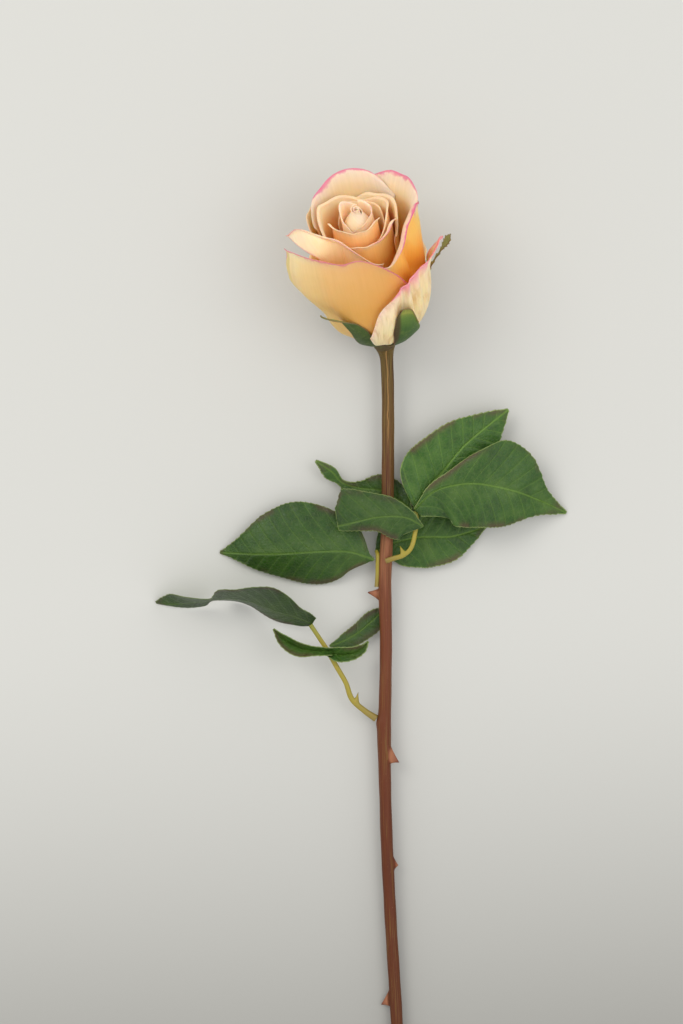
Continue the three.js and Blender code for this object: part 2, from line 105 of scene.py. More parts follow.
def across_knots(knots, s):
    """Value across a sheet, s from -1 to 1: a bend through three knots, or smooth through more."""
    if np.ndim(knots) == 0 or len(knots) > 3:
        return along_knots(knots, (s + 1) / 2)
    bend = (knots[0] + knots[2]) / 2 - knots[1]
    slope = (knots[2] - knots[0]) / 2
    return knots[1] + slope * s + bend * s * s


# Bloom frame, as in the part: the axis nods 38 degrees up from the table
LIFT = 38 * DEG
LEAN = 13 * DEG
AXIS = np.array([-math.sin(LEAN) * math.cos(LIFT), math.cos(LEAN) * math.cos(LIFT), math.sin(LIFT)])
FRONT = unit(UP - AXIS[2] * AXIS)
RIGHT = np.cross(AXIS, FRONT)


def bloom_point(angle, radius, height):
    """Angle 0 faces up, 90 is to the right, 180 is next to the table."""
    turn = angle * DEG
    return (height[..., None] * AXIS + (radius * np.cos(turn))[..., None] * FRONT
            + (radius * np.sin(turn))[..., None] * RIGHT)


# Round bars: rings of points, closed at both ends
def bar_rings(at, ahead, radius, sides):
    """Points of the rings, the way out at each, and the angle of each side."""
    ahead = unit(ahead)
    side = unit(np.cross(UP, ahead))
    face = np.cross(ahead, side)
    turn = np.arange(sides) / sides * 2 * math.pi
    out = np.cos(turn)[None, :, None] * side[:, None] + np.sin(turn)[None, :, None] * face[:, None]
    return at[:, None] + out * radius[:, None, None], out, np.degrees(turn)[None, :]


def seat_rings(profile, sides):
    """Rings round the axis of the bloom from heights and radii."""
    profile = np.array(profile)
    ahead = np.tile(AXIS, (len(profile), 1))
    return bar_rings(profile[:, :1] * AXIS, ahead, profile[:, 1], sides)[0]


def capped(rings, levels):
    """Points and faces of a bar, with shrinking rings and a middle point on both ends."""
    count, sides = rings.shape[:2]
    index = np.arange(count * sides).reshape(count, sides)
    following = np.roll(index, -1, axis=1)
    faces = np.stack([index[:-1], following[:-1], following[1:], index[1:]], -1).reshape(-1, 4).tolist()
    points = [rings.reshape(-1, 3)]
    size = count * sides
    for end, ring, last in ((0, rings[0], index[0]), (1, rings[-1], index[-1])):
        middle = ring.mean(0)
        for level in levels:
            points.append(middle + (ring - middle) * level)
            new = np.arange(sides) + size
            size += sides
            for j in range(sides):
                k = (j + 1) % sides
                quad = [last[j], last[k], new[k], new[j]]
                faces.append(quad if end else quad[::-1])
            last = new
        points.append(middle[None])
        for j in range(sides):
            k = (j + 1) % sides
            faces.append([last[j], last[k], size] if end else [last[k], last[j], size])
        size += 1
    return np.concatenate(points), faces


# The bloom's frame starts at the seat of the sepals, so the box of its solid gives the shift of the part
SEAT_SOLID = [(0.35, 4.2), (0.8, 4.6), (1.2, 4.3), (1.5, 2.4), (2.4, 2.1), (15, 2.1)]
SEAT_FINE = [(-0.4, 3.6), (0.0, 4.2), (0.35, 4.5), (0.8, 4.65), (1.8, 4.6), (3.0, 4.2), (4.2, 3.4),
             (5.0, 2.2), (15, 2.0)]
SOLID_SIDES = 12
SHIFT = np.array(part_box("receptacle")[0]) / MM - seat_rings(SEAT_SOLID, SOLID_SIDES).min((0, 1))


# Meshes
def link_object(name, data):
    thing = bpy.data.objects.new(name, data)
    bpy.context.scene.collection.objects.link(thing)
    return thing


def add_layer(mesh, title, values):
    layer = mesh.attributes.new(title, "FLOAT_VECTOR", "POINT")
    layer.data.foreach_set("vector", np.asarray(values, np.float32).ravel())


def make_piece(node, slot, paints, points, faces, cut=None, **layers):
    """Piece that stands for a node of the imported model. Faces in cut are flat and have the last paint."""
    if cut is None:
        cut = np.zeros(len(faces), bool)
    mesh = bpy.data.meshes.new(node + "_fine")
    mesh.from_pydata(((points + SHIFT) * MM).tolist(), [], [tuple(int(k) for k in face) for face in faces])
    for paint in paints:
        mesh.materials.append(paint)
    mesh.polygons.foreach_set("use_smooth", ~cut)
    mesh.polygons.foreach_set("material_index", cut.astype(np.int32))
    for title, values in layers.items():
        add_layer(mesh, title, values)
    mesh.validate()
    mesh.update()
    thing = link_object(node + "_fine", mesh)
    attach(thing, "root")
    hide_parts(node)


def border_of(rows, cols):
    """Grid places round the border, and the grid place next to each on its inner side."""
    loop = [(0, j) for j in range(cols - 1)]
    loop += [(i, cols - 1) for i in range(rows - 1)]
    loop += [(rows - 1, j) for j in range(cols - 1, 0, -1)]
    loop += [(i, 0) for i in range(rows - 1, 0, -1)]
    inner = [(min(max(i, 1), rows - 2), min(max(j, 1), cols - 2)) for i, j in loop]
    return tuple(np.array(loop).T), tuple(np.array(inner).T)


def make_sheet(node, slot, paint, grid, thick, height, rim, **layers):
    """Closed thin sheet with a round rim. Its form layer holds the height, the distance to the rim and
    the side: 1 on the face that across times along points to, 0 on the other one, 0.5 on the rim."""
    rows, cols = grid.shape[:2]
    row = np.arange(rows)
    col = np.arange(cols)
    along = grid[np.minimum(row + 1, rows - 1)] - grid[np.maximum(row - 1, 0)]
    across = grid[:, np.minimum(col + 1, cols - 1)] - grid[:, np.maximum(col - 1, 0)]
    normal = unit(np.cross(across, along))
    half = thick[..., None] / 2
    border, inner = border_of(rows, cols)
    out = grid[border] - grid[inner]
    out = unit(out - (out * normal[border]).sum(-1, keepdims=True) * normal[border])
    upper = (grid + normal * half).reshape(-1, 3)
    lower = (grid - normal * half).reshape(-1, 3)
    points = np.concatenate([upper, lower, grid[border] + out * half[border]])
    under = rows * cols
    index = np.arange(under).reshape(rows, cols)
    a = index[:-1, :-1].ravel()
    b = index[:-1, 1:].ravel()
    c = index[1:, :-1].ravel()
    d = index[1:, 1:].ravel()
    edge = index[border]
    ring = 2 * under + np.arange(len(edge))
    next_edge = np.roll(edge, -1)
    next_ring = np.roll(ring, -1)
    faces = np.concatenate([
        np.stack([a, b, d, c], 1),
        np.stack([a, c, d, b], 1) + under,
        np.stack([edge, ring, next_ring, next_edge], 1),
        np.stack([ring, edge + under, next_edge + under, next_ring], 1),
    ])
    layers["form"] = np.stack([height, rim, 0 * rim], -1)
    whole = {}
    for title, values in layers.items():
        flat = values.reshape(-1, 3)
        whole[title] = np.concatenate([flat, flat, values[border]])
    whole["form"][:, 2] = np.repeat([1.0, 0.0, 0.5], [under, under, len(edge)])
    make_piece(node, slot, [paint], points, faces, **whole)


def sheet_grid(v, cols):
    """Grids of v from foot to rim and of s from -1 to 1 across a sheet."""
    return np.meshgrid(v, np.linspace(-1, 1, cols + 1), indexing="ij")


def grid_lengths(grid):
    """Millimetres across from the middle column, along from the foot, to the nearer side and to the rim."""
    rows, cols = grid.shape[:2]
    steps = np.linalg.norm(np.diff(grid, axis=0), axis=-1)
    along = np.concatenate([np.zeros((1, cols)), np.cumsum(steps, 0)])
    to_top = np.concatenate([np.cumsum(steps[::-1], 0)[::-1], np.zeros((1, cols))])
    steps = np.linalg.norm(np.diff(grid, axis=1), axis=-1)
    from_left = np.concatenate([np.zeros((rows, 1)), np.cumsum(steps, 1)], 1)
    to_side = np.minimum(from_left, from_left[:, -1:] - from_left)
    return from_left - from_left[:, [cols // 2]], along, to_side, to_top


# Materials
def tone(red, green, blue):
    """Scene colour from a display colour of 0 to 255."""
    values = np.array([red, green, blue], float) / 255
    linear = np.where(values <= 0.04045, values / 12.92, ((values + 0.055) / 1.055) ** 2.4)
    return (*linear.tolist(), 1.0)


class Paint:
    """One material with helpers that add and wire its nodes."""

    def __init__(self, name, **settings):
        self.material = bpy.data.materials.new(name)
        self.material.use_nodes = True
        self.nodes = self.material.node_tree.nodes
        self.links = self.material.node_tree.links
        self.surface = self.nodes["Principled BSDF"]
        for title, value in settings.items():
            self.surface.inputs[title.replace("_", " ")].default_value = value

    def put(self, socket, value):
        if isinstance(value, bpy.types.NodeSocket):
            self.links.new(value, socket)
        else:
            socket.default_value = value

    def vector(self, name):
        node = self.nodes.new("ShaderNodeAttribute")
        node.attribute_name = name
        return node.outputs["Vector"]

    def split(self, vector):
        node = self.nodes.new("ShaderNodeSeparateXYZ")
        self.put(node.inputs[0], vector)
        return node.outputs[0], node.outputs[1], node.outputs[2]

    def join(self, *parts):
        node = self.nodes.new("ShaderNodeCombineXYZ")
        for socket, part in zip(node.inputs, parts):
            self.put(socket, part)
        return node.outputs[0]

    def math(self, operation, *values):
        node = self.nodes.new("ShaderNodeMath")
        node.operation = operation
        for socket, value in zip(node.inputs, values):
            self.put(socket, value)
        return node.outputs[0]

    def plus(self, *values):
        return self.math("ADD", *values)

    def minus(self, *values):
        return self.math("SUBTRACT", *values)

    def times(self, *values):
        return self.math("MULTIPLY", *values)

    def over(self, *values):
        return self.math("DIVIDE", *values)

    def size(self, value):
        return self.math("ABSOLUTE", value)

    def spread(self, value, low, high, to_low=0.0, to_high=1.0):
        node = self.nodes.new("ShaderNodeMapRange")
        node.interpolation_type = "SMOOTHSTEP"
        for socket, number in zip(node.inputs, (value, low, high, to_low, to_high)):
            self.put(socket, number)
        return node.outputs[0]

    def noise(self, vector, scale, detail=3.0, rough=0.5):
        node = self.nodes.new("ShaderNodeTexNoise")
        self.put(node.inputs["Vector"], vector)
        node.inputs["Scale"].default_value = scale
        node.inputs["Detail"].default_value = detail
        node.inputs["Roughness"].default_value = rough
        return node.outputs["Fac"]

    def streaks(self, across, fine, along, long, third=0.0, scale=1.0, detail=3.0, rough=0.5):
        """Noise that is drawn out: fine and long scale it across and along the piece."""
        place = self.join(self.times(across, fine), self.times(along, long), third)
        return self.noise(place, scale, detail, rough)

    def cells(self, vector, scale):
        node = self.nodes.new("ShaderNodeTexVoronoi")
        node.feature = "DISTANCE_TO_EDGE"
        self.put(node.inputs["Vector"], vector)
        node.inputs["Scale"].default_value = scale
        return node.outputs["Distance"]

    def mix(self, share, first, second, blend="MIX"):
        node = self.nodes.new("ShaderNodeMix")
        node.data_type = "RGBA"
        node.blend_type = blend
        self.put(node.inputs[0], share)
        self.put(node.inputs[6], first)
        self.put(node.inputs[7], second)
        return node.outputs[2]

    def shaded(self, color, *shares):
        return self.mix(1.0, color, self.join(*shares), "MULTIPLY")

    def ramp(self, share, stops):
        """Colour from stops of a place and a display colour."""
        node = self.nodes.new("ShaderNodeValToRGB")
        elements = node.color_ramp.elements
        while len(elements) < len(stops):
            elements.new(0.5)
        for element, (at, *color) in zip(elements, stops):
            element.position = at
            element.color = tone(*color)
        self.put(node.inputs[0], share)
        return node.outputs[0]

    def color(self, value):
        self.put(self.surface.inputs["Base Color"], value)

    def roughness(self, value):
        self.put(self.surface.inputs["Roughness"], value)

    def bump(self, height, distance, strength):
        node = self.nodes.new("ShaderNodeBump")
        node.inputs["Strength"].default_value = strength
        node.inputs["Distance"].default_value = distance
        self.put(node.inputs["Height"], height)
        self.links.new(node.outputs[0], self.surface.inputs["Normal"])


PINK = tone(206, 84, 132)
SOFT_PINK = tone(240, 140, 158)
TAN = tone(206, 156, 92)
ROLLED_EDGE_SHADE = tone(206, 184, 116)
ORANGE_SHADE = tone(224, 146, 46)


def petal_paint(name, outer, inner, blush, pink=PINK, streak=0.03, fray=(0.4, 1.7), crease_shade=0.0):
    """Petal: own colours from foot to rim on both faces, pink margin, fine lines along it."""
    paint = Paint(name, Roughness=0.55, Subsurface_Weight=0.6, Subsurface_Scale=0.0013,
                  Subsurface_Radius=(1.0, 0.56, 0.26), Specular_IOR_Level=0.25,
                  Sheen_Weight=0.06, Sheen_Roughness=0.4)
    place = paint.vector("place")
    across, along, orange_shade = paint.split(place)
    height, rim, side = paint.split(paint.vector("form"))
    blush_reach, olive_reach, from_left = paint.split(paint.vector("marks"))
    patch = paint.noise(place, 0.09)
    shifted = paint.plus(height, paint.times(paint.minus(patch, 0.5), 0.14))
    face = paint.mix(side, paint.ramp(shifted, inner), paint.ramp(shifted, outer))
    lines = paint.streaks(across, 1.0, along, 0.05, side, detail=4.0, rough=0.6)
    shade = paint.spread(lines, 0.3, 0.7, 1.0 - streak, 1.0 + streak)
    warm = paint.spread(lines, 0.3, 0.7, 1.0 - 2 * streak, 1.0 + streak)
    face = paint.shaded(face, shade, shade, warm)
    # Painted shade in the creases: tan blots drawn out along the petal, on one face
    if crease_shade:
        crease_blots = paint.streaks(across, 0.34, along, 0.12, 4.0, rough=0.55)
        face = paint.mix(paint.times(paint.spread(crease_blots, 0.42, 0.72, 0.0, crease_shade), side), face, TAN)
    # Painted shade and glow of light through the petal: orange laid on one face as far as the third place
    # value says, strongest towards the right side of the front petal
    face = paint.mix(paint.times(orange_shade, side), face, ORANGE_SHADE)
    # Painted shade of the rolled left edge, in an olive tone across the left margin
    face = paint.mix(paint.times(paint.spread(from_left, 1.0, 0.75), olive_reach), face, ROLLED_EDGE_SHADE)
    ragged = paint.spread(paint.noise(place, 0.3, 4.0, 0.6), 0.25, 0.75, *fray)
    reach = paint.plus(paint.times(ragged, blush_reach), 0.01)
    edge = paint.times(paint.spread(paint.over(rim, reach), 1.0, 0.1), blush)
    edge = paint.times(edge, paint.spread(blush_reach, 0.12, 0.6))
    # Painted shade: the thin edge itself is a little darker, so that the lit rim draws no bright line
    rim_shade = paint.spread(paint.size(paint.minus(side, 0.5)), 0.0, 0.5, 0.84, 1.0)
    paint.color(paint.shaded(paint.mix(edge, face, pink), rim_shade, rim_shade, rim_shade))
    paint.bump(paint.plus(paint.times(lines, 0.5), paint.times(patch, 1.2)), 0.00015, 0.5)
    return paint.material


# Colours from foot to rim: place, red, green, blue
WARM_INSIDE = [(0.0, 255, 136, 40), (0.5, 255, 162, 68), (0.62, 255, 190, 112), (0.74, 255, 218, 168),
               (0.84, 255, 224, 182), (0.93, 252, 216, 176), (1.0, 238, 200, 164)]
PALE_INSIDE = [(0.0, 255, 166, 66), (0.4, 255, 196, 108), (0.55, 252, 220, 160), (0.72, 240, 212, 174),
               (0.88, 233, 206, 180), (1.0, 233, 206, 186)]
LIP_INSIDE = [(0.0, 255, 166, 66), (0.4, 255, 196, 108), (0.6, 250, 208, 150), (0.8, 232, 196, 160),
              (1.0, 226, 186, 160)]
OUTER_SKIN = [(0.0, 218, 192, 134), (0.12, 210, 176, 110), (0.4, 203, 172, 106), (0.66, 229, 199, 142),
              (0.9, 236, 212, 168), (1.0, 234, 206, 170)]
CREAM_SKIN = [(0.0, 238, 208, 140), (0.2, 246, 210, 156), (0.6, 250, 216, 168), (0.85, 252, 218, 184),
              (1.0, 252, 206, 186)]
GOLD_SKIN = [(0.0, 255, 150, 40), (0.5, 255, 168, 62), (0.7, 252, 188, 96), (0.85, 250, 206, 140),
             (1.0, 240, 208, 172)]
MIDDLE_SKIN = [(0.0, 255, 146, 42), (0.5, 255, 160, 58), (0.75, 253, 194, 120), (0.9, 252, 214, 168),
               (1.0, 240, 202, 164)]
TONGUE_SKIN = [(0.0, 250, 170, 84), (0.5, 252, 184, 112), (0.66, 250, 200, 146), (0.8, 252, 214, 174),
               (1.0, 252, 220, 188)]
HEART_SKIN = [(0.0, 255, 136, 42), (0.55, 252, 156, 72), (0.75, 252, 196, 136), (0.92, 251, 208, 164),
              (1.0, 238, 196, 160)]
BUD_SKIN = [(0.0, 250, 168, 104), (0.6, 251, 200, 152), (0.85, 253, 216, 182), (1.0, 250, 210, 184)]
BUD_INSIDE = [(0.0, 254, 200, 148), (0.7, 255, 216, 176), (0.9, 255, 220, 190), (1.0, 252, 218, 192)]

# Outer and inner colours, strength of the pink margin, and what differs from a plain petal
PETAL_LOOKS = {
    "outer": (OUTER_SKIN, WARM_INSIDE, 0.7),
    "cream": (CREAM_SKIN, PALE_INSIDE, 0.85, SOFT_PINK, 0.05, (0.8, 1.2), 0.5),
    "front": (OUTER_SKIN, PALE_INSIDE, 0.7),
    "back": (OUTER_SKIN, PALE_INSIDE, 0.8),
    "gold": (GOLD_SKIN, LIP_INSIDE, 0.85),
    "tongue": (TONGUE_SKIN, WARM_INSIDE, 0.5),
    "middle": (MIDDLE_SKIN, WARM_INSIDE, 0.6),
    "heart": (HEART_SKIN, WARM_INSIDE, 0.5),
    "bud": (BUD_SKIN, BUD_INSIDE, 0.4),
}
PETAL_PAINTS = {look: petal_paint("petal " + look, *row) for look, row in PETAL_LOOKS.items()}

# Nested cups, as in the part
CUP_RADIUS = 24.0
CUP_FOOT = 4.4
CUP_NEST = 0.55
CUP_BELLY = 7.5
FOOT_RADIUS = 3.2
FOOT_SHARE = 0.6
# Outer layers open towards the rim, and inner ones close
OPENING = 2.2
OPEN_LAYERS = 14
OPEN_FROM = 35
OPEN_OVER = 35
CLOSING = 0.8
CLOSED_FROM = 8
SHUT_FROM = 45
SHUT_OVER = 25
# Shares of the way from foot to rim, or from the middle to a side
LIP_FROM = 0.72
CORNER_FROM = 0.5
FULL_WIDTH_AT = 0.6
WAVE_FROM = 0.45
HEM_FROM = 0.95
# Other measures that all petals share
FOOT_WIDTH = 0.42
LEAST_CURL = 0.02
FLARE_LOSS = 0.35
FLARE_TOP = 44
FLARE_FADE = 14
CREASE_FADE = 5
WAVES = 2.0


def cup_radius(layer, height):
    rise = np.maximum(0, height - CUP_FOOT - CUP_NEST * layer)
    body = (CUP_RADIUS - layer) * (1 - np.exp(-rise / CUP_BELLY))
    opened = clamp(1 - layer / OPEN_LAYERS, 0, 1.4) * clamp((height - OPEN_FROM) / OPEN_OVER, 0, 2) ** 2
    shut = clamp((layer - CLOSED_FROM) / 10, 0, 1) * clamp((height - SHUT_FROM) / SHUT_OVER, 0, 2) ** 2
    return body + OPENING * opened - CLOSING * shut


def foot_height(layer):
    foot = np.minimum(FOOT_RADIUS, FOOT_SHARE * (CUP_RADIUS - layer))
    return CUP_FOOT + CUP_NEST * layer - CUP_BELLY * np.log(1 - foot / (CUP_RADIUS - layer))


def cup_sheet(p, width, v, s, low_start=0.0, rim_wave=0.0, out_wave=0.0):
    """Middle surface of a petal or sepal on a grid of v from foot to rim and s across."""
    layer = across_knots(p["layer"], s) - low_start * (1 - v) ** 6
    corner = p["corner"] * clamp((np.abs(s) - CORNER_FROM) / (1 - CORNER_FROM), 0, 1) ** 2
    rim = across_knots(p["top"], s) - corner + rim_wave
    curl = np.maximum(LEAST_CURL, across_knots(p["lip"], s) * DEG)
    rise = p["roll"] * np.where(curl < math.pi / 2, np.sin(curl) / curl, 1 / curl)
    foot = foot_height(layer)
    height = foot + (rim - rise - foot) * np.minimum(1, v / LIP_FROM)
    turned = curl * np.maximum(0, v - LIP_FROM) / (1 - LIP_FROM)
    height = height + p["roll"] * np.sin(turned) / curl
    radius = cup_radius(layer, height) + p["roll"] * (1 - np.cos(turned)) / curl
    flare_from, flare_over = p["flare_at"]
    flare = across_knots(p["flare"], s) * ease((height - flare_from) / flare_over)
    radius = radius + flare * (1 - FLARE_LOSS * ease((height - FLARE_TOP) / FLARE_FADE))
    shut_from, shut_over = p["shut_at"]
    radius = radius - across_knots(p["shut"], s) * ease((height - shut_from) / shut_over)
    grow_from, grow_over = p["grow_at"]
    grown = ease((v - grow_from) / grow_over)
    narrow = np.where(s < 0, p["narrow"], 1.0)
    angle = p["at"] + p["lean"] * (1 - grown) + s * p["span"] * width * (narrow + (1 - narrow) * grown)
    for first, last, low, high, wide, deep in p["creases"]:
        line = first + (last - first) * (height - low) / (high - low)
        fade = ease((height - low) / CREASE_FADE) * ease((high - height) / CREASE_FADE)
        radius = radius + deep * bell((angle - line) / wide) * fade
    point = bloom_point(angle, radius + out_wave, height)
    point[..., 2] = np.maximum(point[..., 2], PETAL_LOWEST)
    return point


PLAIN_PETAL = {
    "corner": 0, "flare": 0, "flare_at": (25, 15), "narrow": 1, "lean": 0, "grow_at": (0.45, 0.5),
    "shut": 0, "shut_at": (54, 11), "creases": (), "paint": "outer", "wave": 0.4,
    "blush": 0.1, "warm": 0, "olive": 0, "hem": 0.3,
}


def petal(at, span, layer, top, lip, roll, **rest):
    """Angle of the middle, half of the width as an angle, cup layer, height of the rim, turn of the lip and
    its length, and what differs from a plain petal. Rows of numbers go from the left to the right side."""
    form = {"at": at, "span": span, "layer": layer, "top": top, "lip": lip, "roll": roll}
    return {**PLAIN_PETAL, **form, **rest}


PETALS = {
    "petal_outer_back": petal(180, 58, (-4.4, -5, -4.4), (38, 42, 38), (20, 30, 20), 6, corner=9),
    "petal_outer_left": petal(-147, 47, (-2.4, -1.6, 3.2), (44, 46, 36), (20, 30, 5), 6, corner=9),
    "petal_outer_right": petal(
        41, 56, (-0.6, -0.4, 0.1), (20, 32.5, 37, 41.3, 44.3, 45.3, 46.2, 46.8, 41), (10, 25, 50), 7,
        flare=(0, 0, 5), flare_at=(34, 12), paint="cream", wave=0.25,
        blush=(0.1, 0.1, 0.6, 6.5, 9, 8, 5.5, 4, 3),
        creases=((18, 21, 4, 36, 3.5, -1.5), (7, 9, 2, 34, 7, 0.9), (27, 24, 20, 44, 2.6, -1.2),
                 (32, 30, 18, 44, 2.4, 1.1), (38, 35, 22, 45, 2.6, -1.2), (45, 42, 20, 45, 3, 1.0),
                 (53, 49, 24, 46, 3, -1.0), (60, 57, 26, 46, 3, 0.7))),
    # Front petal: its warm row is painted shade and glow, orange towards its right side
    "petal_front": petal(
        -27, 68, (1.6, 1.4, 1.2), (54, 56.3, 58, 57.9, 57.1, 57.8, 53.3, 46, 36), (30, 20, 20), 5,
        flare=(9, 0, 0), paint="front", wave=0.2, warm=(0, 0, 0.15, 0.4, 0.5, 0.55, 0.65, 0.75, 0.75),
        blush=(1, 1.5, 2, 2.2, 1.8, 1, 0.8, 1.2, 0.3), olive=0.9,
        creases=((-62, -78, 12, 56, 9, 0.8), (-44, -60, 12, 50, 7, -0.5))),
    "petal_back_right": petal(
        126, 50, (4.2, 3.6, 2.4), (58, 65, 67.4, 69, 67.4, 67.6, 66, 63.5, 60), (20, 30, 30), 6,
        flare=(2.8, 1.8, 0), flare_at=(59, 8), paint="back", wave=0.2,
        blush=(0.2, 0.3, 0.8, 2.2, 1.6, 2.0, 1.4, 0.2, 0.1)),
    "petal_fold_right": petal(
        62, 56, (5, 5.2, 5, 4.2, 3, 1.9, 1.4, 1.3, 1.5), (51.5, 50.6, 55.4, 60.8, 64.3, 66, 62.5, 60, 57),
        (45, 60, 74, 78, 74, 56, 30, 18, 10), 7, shut=(1, 1, 2, 3, 3.4, 3, 2, 0.6, 0), paint="gold", wave=0.1,
        blush=(0.1, 0.1, 0.4, 0.9, 1.4, 2.6, 1.6, 0.2, 0.1), creases=((61, 47, 36, 56, 7, -2.2),)),
    "petal_back": petal(
        196, 67, (4.8, 6, 8.4), (60, 65.6, 69, 70.8, 70.6, 69, 66.8, 63.5, 60), (20, 30, 20), 6, paint="back",
        wave=0.2, blush=(0.1, 0.3, 0.8, 1.3, 1.6, 2.3, 0.5, 0.1, 0.1), hem=0.45),
    "petal_mid_left": petal(
        -122, 40, (4.1, 4.3, 7.5), (60, 63, 63, 60.5, 55), 10, 5, paint="tongue", wave=0.2),
    "petal_tongue": petal(
        -34, 53, (3, 8.5, 9), (62, 67.7, 67.5, 65.6, 63.4, 59.2, 54.6, 51, 49), (70, 60, 40), 5,
        flare=(6, 0, 0), flare_at=(52, 10), narrow=0.25, grow_at=(0.64, 0.36), paint="tongue", wave=0.2,
        blush=(1, 0.6, 0.3, 0.3, 0.6, 0.6, 0.3, 0.1, 0.1)),
    "petal_ring_right": petal(
        116.5, 58.5, (10.2, 9.8, 7.8), (55, 58.3, 61.2, 63.4, 63.6, 63.1, 62.4, 61.4, 59.5), 20, 4,
        paint="middle", wave=0.15, hem=0.7),
    "petal_ring_front": petal(
        20, 55, (12.5, 12.5, 11.4), (57, 56.3, 56.4, 56.6, 57.2, 58, 58.9, 61.3, 60), (30, 50, 60), 4,
        paint="middle", wave=0.15, blush=(0.1, 0.1, 0.1, 0.2, 0.5, 0.7, 0.7, 0.3, 0.1), hem=0.6),
    "petal_ring_left": petal(
        -125, 75, (12.2, 10.6, 9.6), (60.5, 63.1, 65.2, 66.1, 66.5, 66.7, 64, 59, 57.5), (0, 10, 20), 4,
        paint="middle", wave=0.15, hem=0.7),
    "petal_ring_back": petal(
        105, 75, (13.4, 12, 9.8), (56.1, 58.6, 62.8, 64.5, 63.8, 63.3, 62.4, 60.8, 58.5), (0, 10, 10), 4,
        paint="heart", wave=0.15, hem=0.6),
    "petal_heart_front": petal(
        -12, 72, (13.2, 14.9, 15.8), (63.2, 62.6, 61.8, 61.2, 61.1, 61.4, 62.1, 62.7, 62.6), (40, 20, 40), 3,
        paint="heart", wave=0.1, hem=0.5),
    "petal_heart_back": petal(
        160, 75, (14.4, 14.2, 14.2), (61, 63, 62), 0, 4, corner=5, paint="heart", wave=0.1),
    "petal_bud_left": petal(
        -98, 84, (16.4, 17.2, 17), (63, 65.5, 67.3, 68.5, 67, 63.9, 62.4, 60.2, 58), 0, 4,
        paint="bud", wave=0.05),
    "petal_bud_right": petal(
        66, 102, (18.2, 18, 17.6), (58.6, 60.8, 62.1, 63, 63.9, 65, 65.2, 65.6, 65.2), 0, 4,
        paint="bud", wave=0.05, blush=(0.1, 0.1, 0.1, 0.1, 0.3, 0.5, 0.1, 0.1, 0.1)),
    "petal_bud_core": petal(
        165, 355,
        (18.2, 18, 17.8, 18.2, 18.9, 19.1, 19.2, 19.3, 19.5, 19.9, 20.2, 20.4, 20.6, 20.8, 21, 21.2, 21.4),
        (66.8, 66.8, 66.2, 65.2, 64.2, 63.8, 64.2, 65.2, 66.2, 66.4, 66.2, 66, 65.7, 65.5, 65.5, 65.6, 65.6),
        0, 4, shut=(2.7, 3.2, 3.7, 3.5, 3, 2.8, 2.7, 2.5, 2.5, 2.2, 2.1, 2, 1.8, 1.6, 1.5, 1.5, 1.5),
        shut_at=(59, 6.5), paint="bud", wave=0, hem=0.1),
}

PETAL_ROWS = 64
PETAL_COLS = 72
PETAL_THICK = 0.30
FOOT_THICKER = 0.25
# Width of the margin at the left side of a petal that can carry painted shade of its rolled edge, in an olive
# tone
ROLLED_EDGE_SHADE_MARGIN = 4.2


def build_petal(name, p, number):
    v, s = sheet_grid(1 - np.linspace(1, 0, PETAL_ROWS + 1) ** 1.5, PETAL_COLS)
    phase = 1.7 * number
    # Soft waves along the rim and across the petal, different on each one
    rim_wave = 0.35 * np.sin(5.3 * s + phase) + 0.2 * np.sin(11.0 * s + 2 * phase)
    slow = np.sin(WAVES * math.pi * s + phase)
    fast = 0.35 * np.sin(2.6 * WAVES * math.pi * s + 3 * phase)
    hem = p["hem"] * clamp((v - HEM_FROM) / (1 - HEM_FROM), 0, 1) ** 2
    out_wave = p["wave"] * ease((v - WAVE_FROM) / (1 - WAVE_FROM)) ** 1.5 * (slow + fast) + hem
    width = FOOT_WIDTH + (1 - FOOT_WIDTH) * np.sin(clamp(v / FULL_WIDTH_AT, 0, 1) * math.pi / 2)
    grid = cup_sheet(p, width, v, s, 0.0, rim_wave, out_wave)
    across, along, to_side, to_top = grid_lengths(grid)
    # The sides count as rim only near the top
    to_side = to_side + 6 * clamp((0.75 - v) / 0.3, 0, 1)
    from_left = across - across[:, :1]
    margin = ROLLED_EDGE_SHADE_MARGIN * ease((v - 0.2) / 0.2) + 0.01
    # The third place value is the share of painted orange shade and glow
    place = np.stack([across, along, across_knots(p["warm"], s)], -1)
    marks = np.stack([across_knots(p["blush"], s), p["olive"] + 0 * s, from_left / margin], -1)
    make_sheet(name, "petal", PETAL_PAINTS[p["paint"]], grid, PETAL_THICK + FOOT_THICKER * (1 - v), v,
               np.minimum(to_top, to_side), place=place, marks=marks)


for number, (name, p) in enumerate(PETALS.items()):
    build_petal(name, p, number)


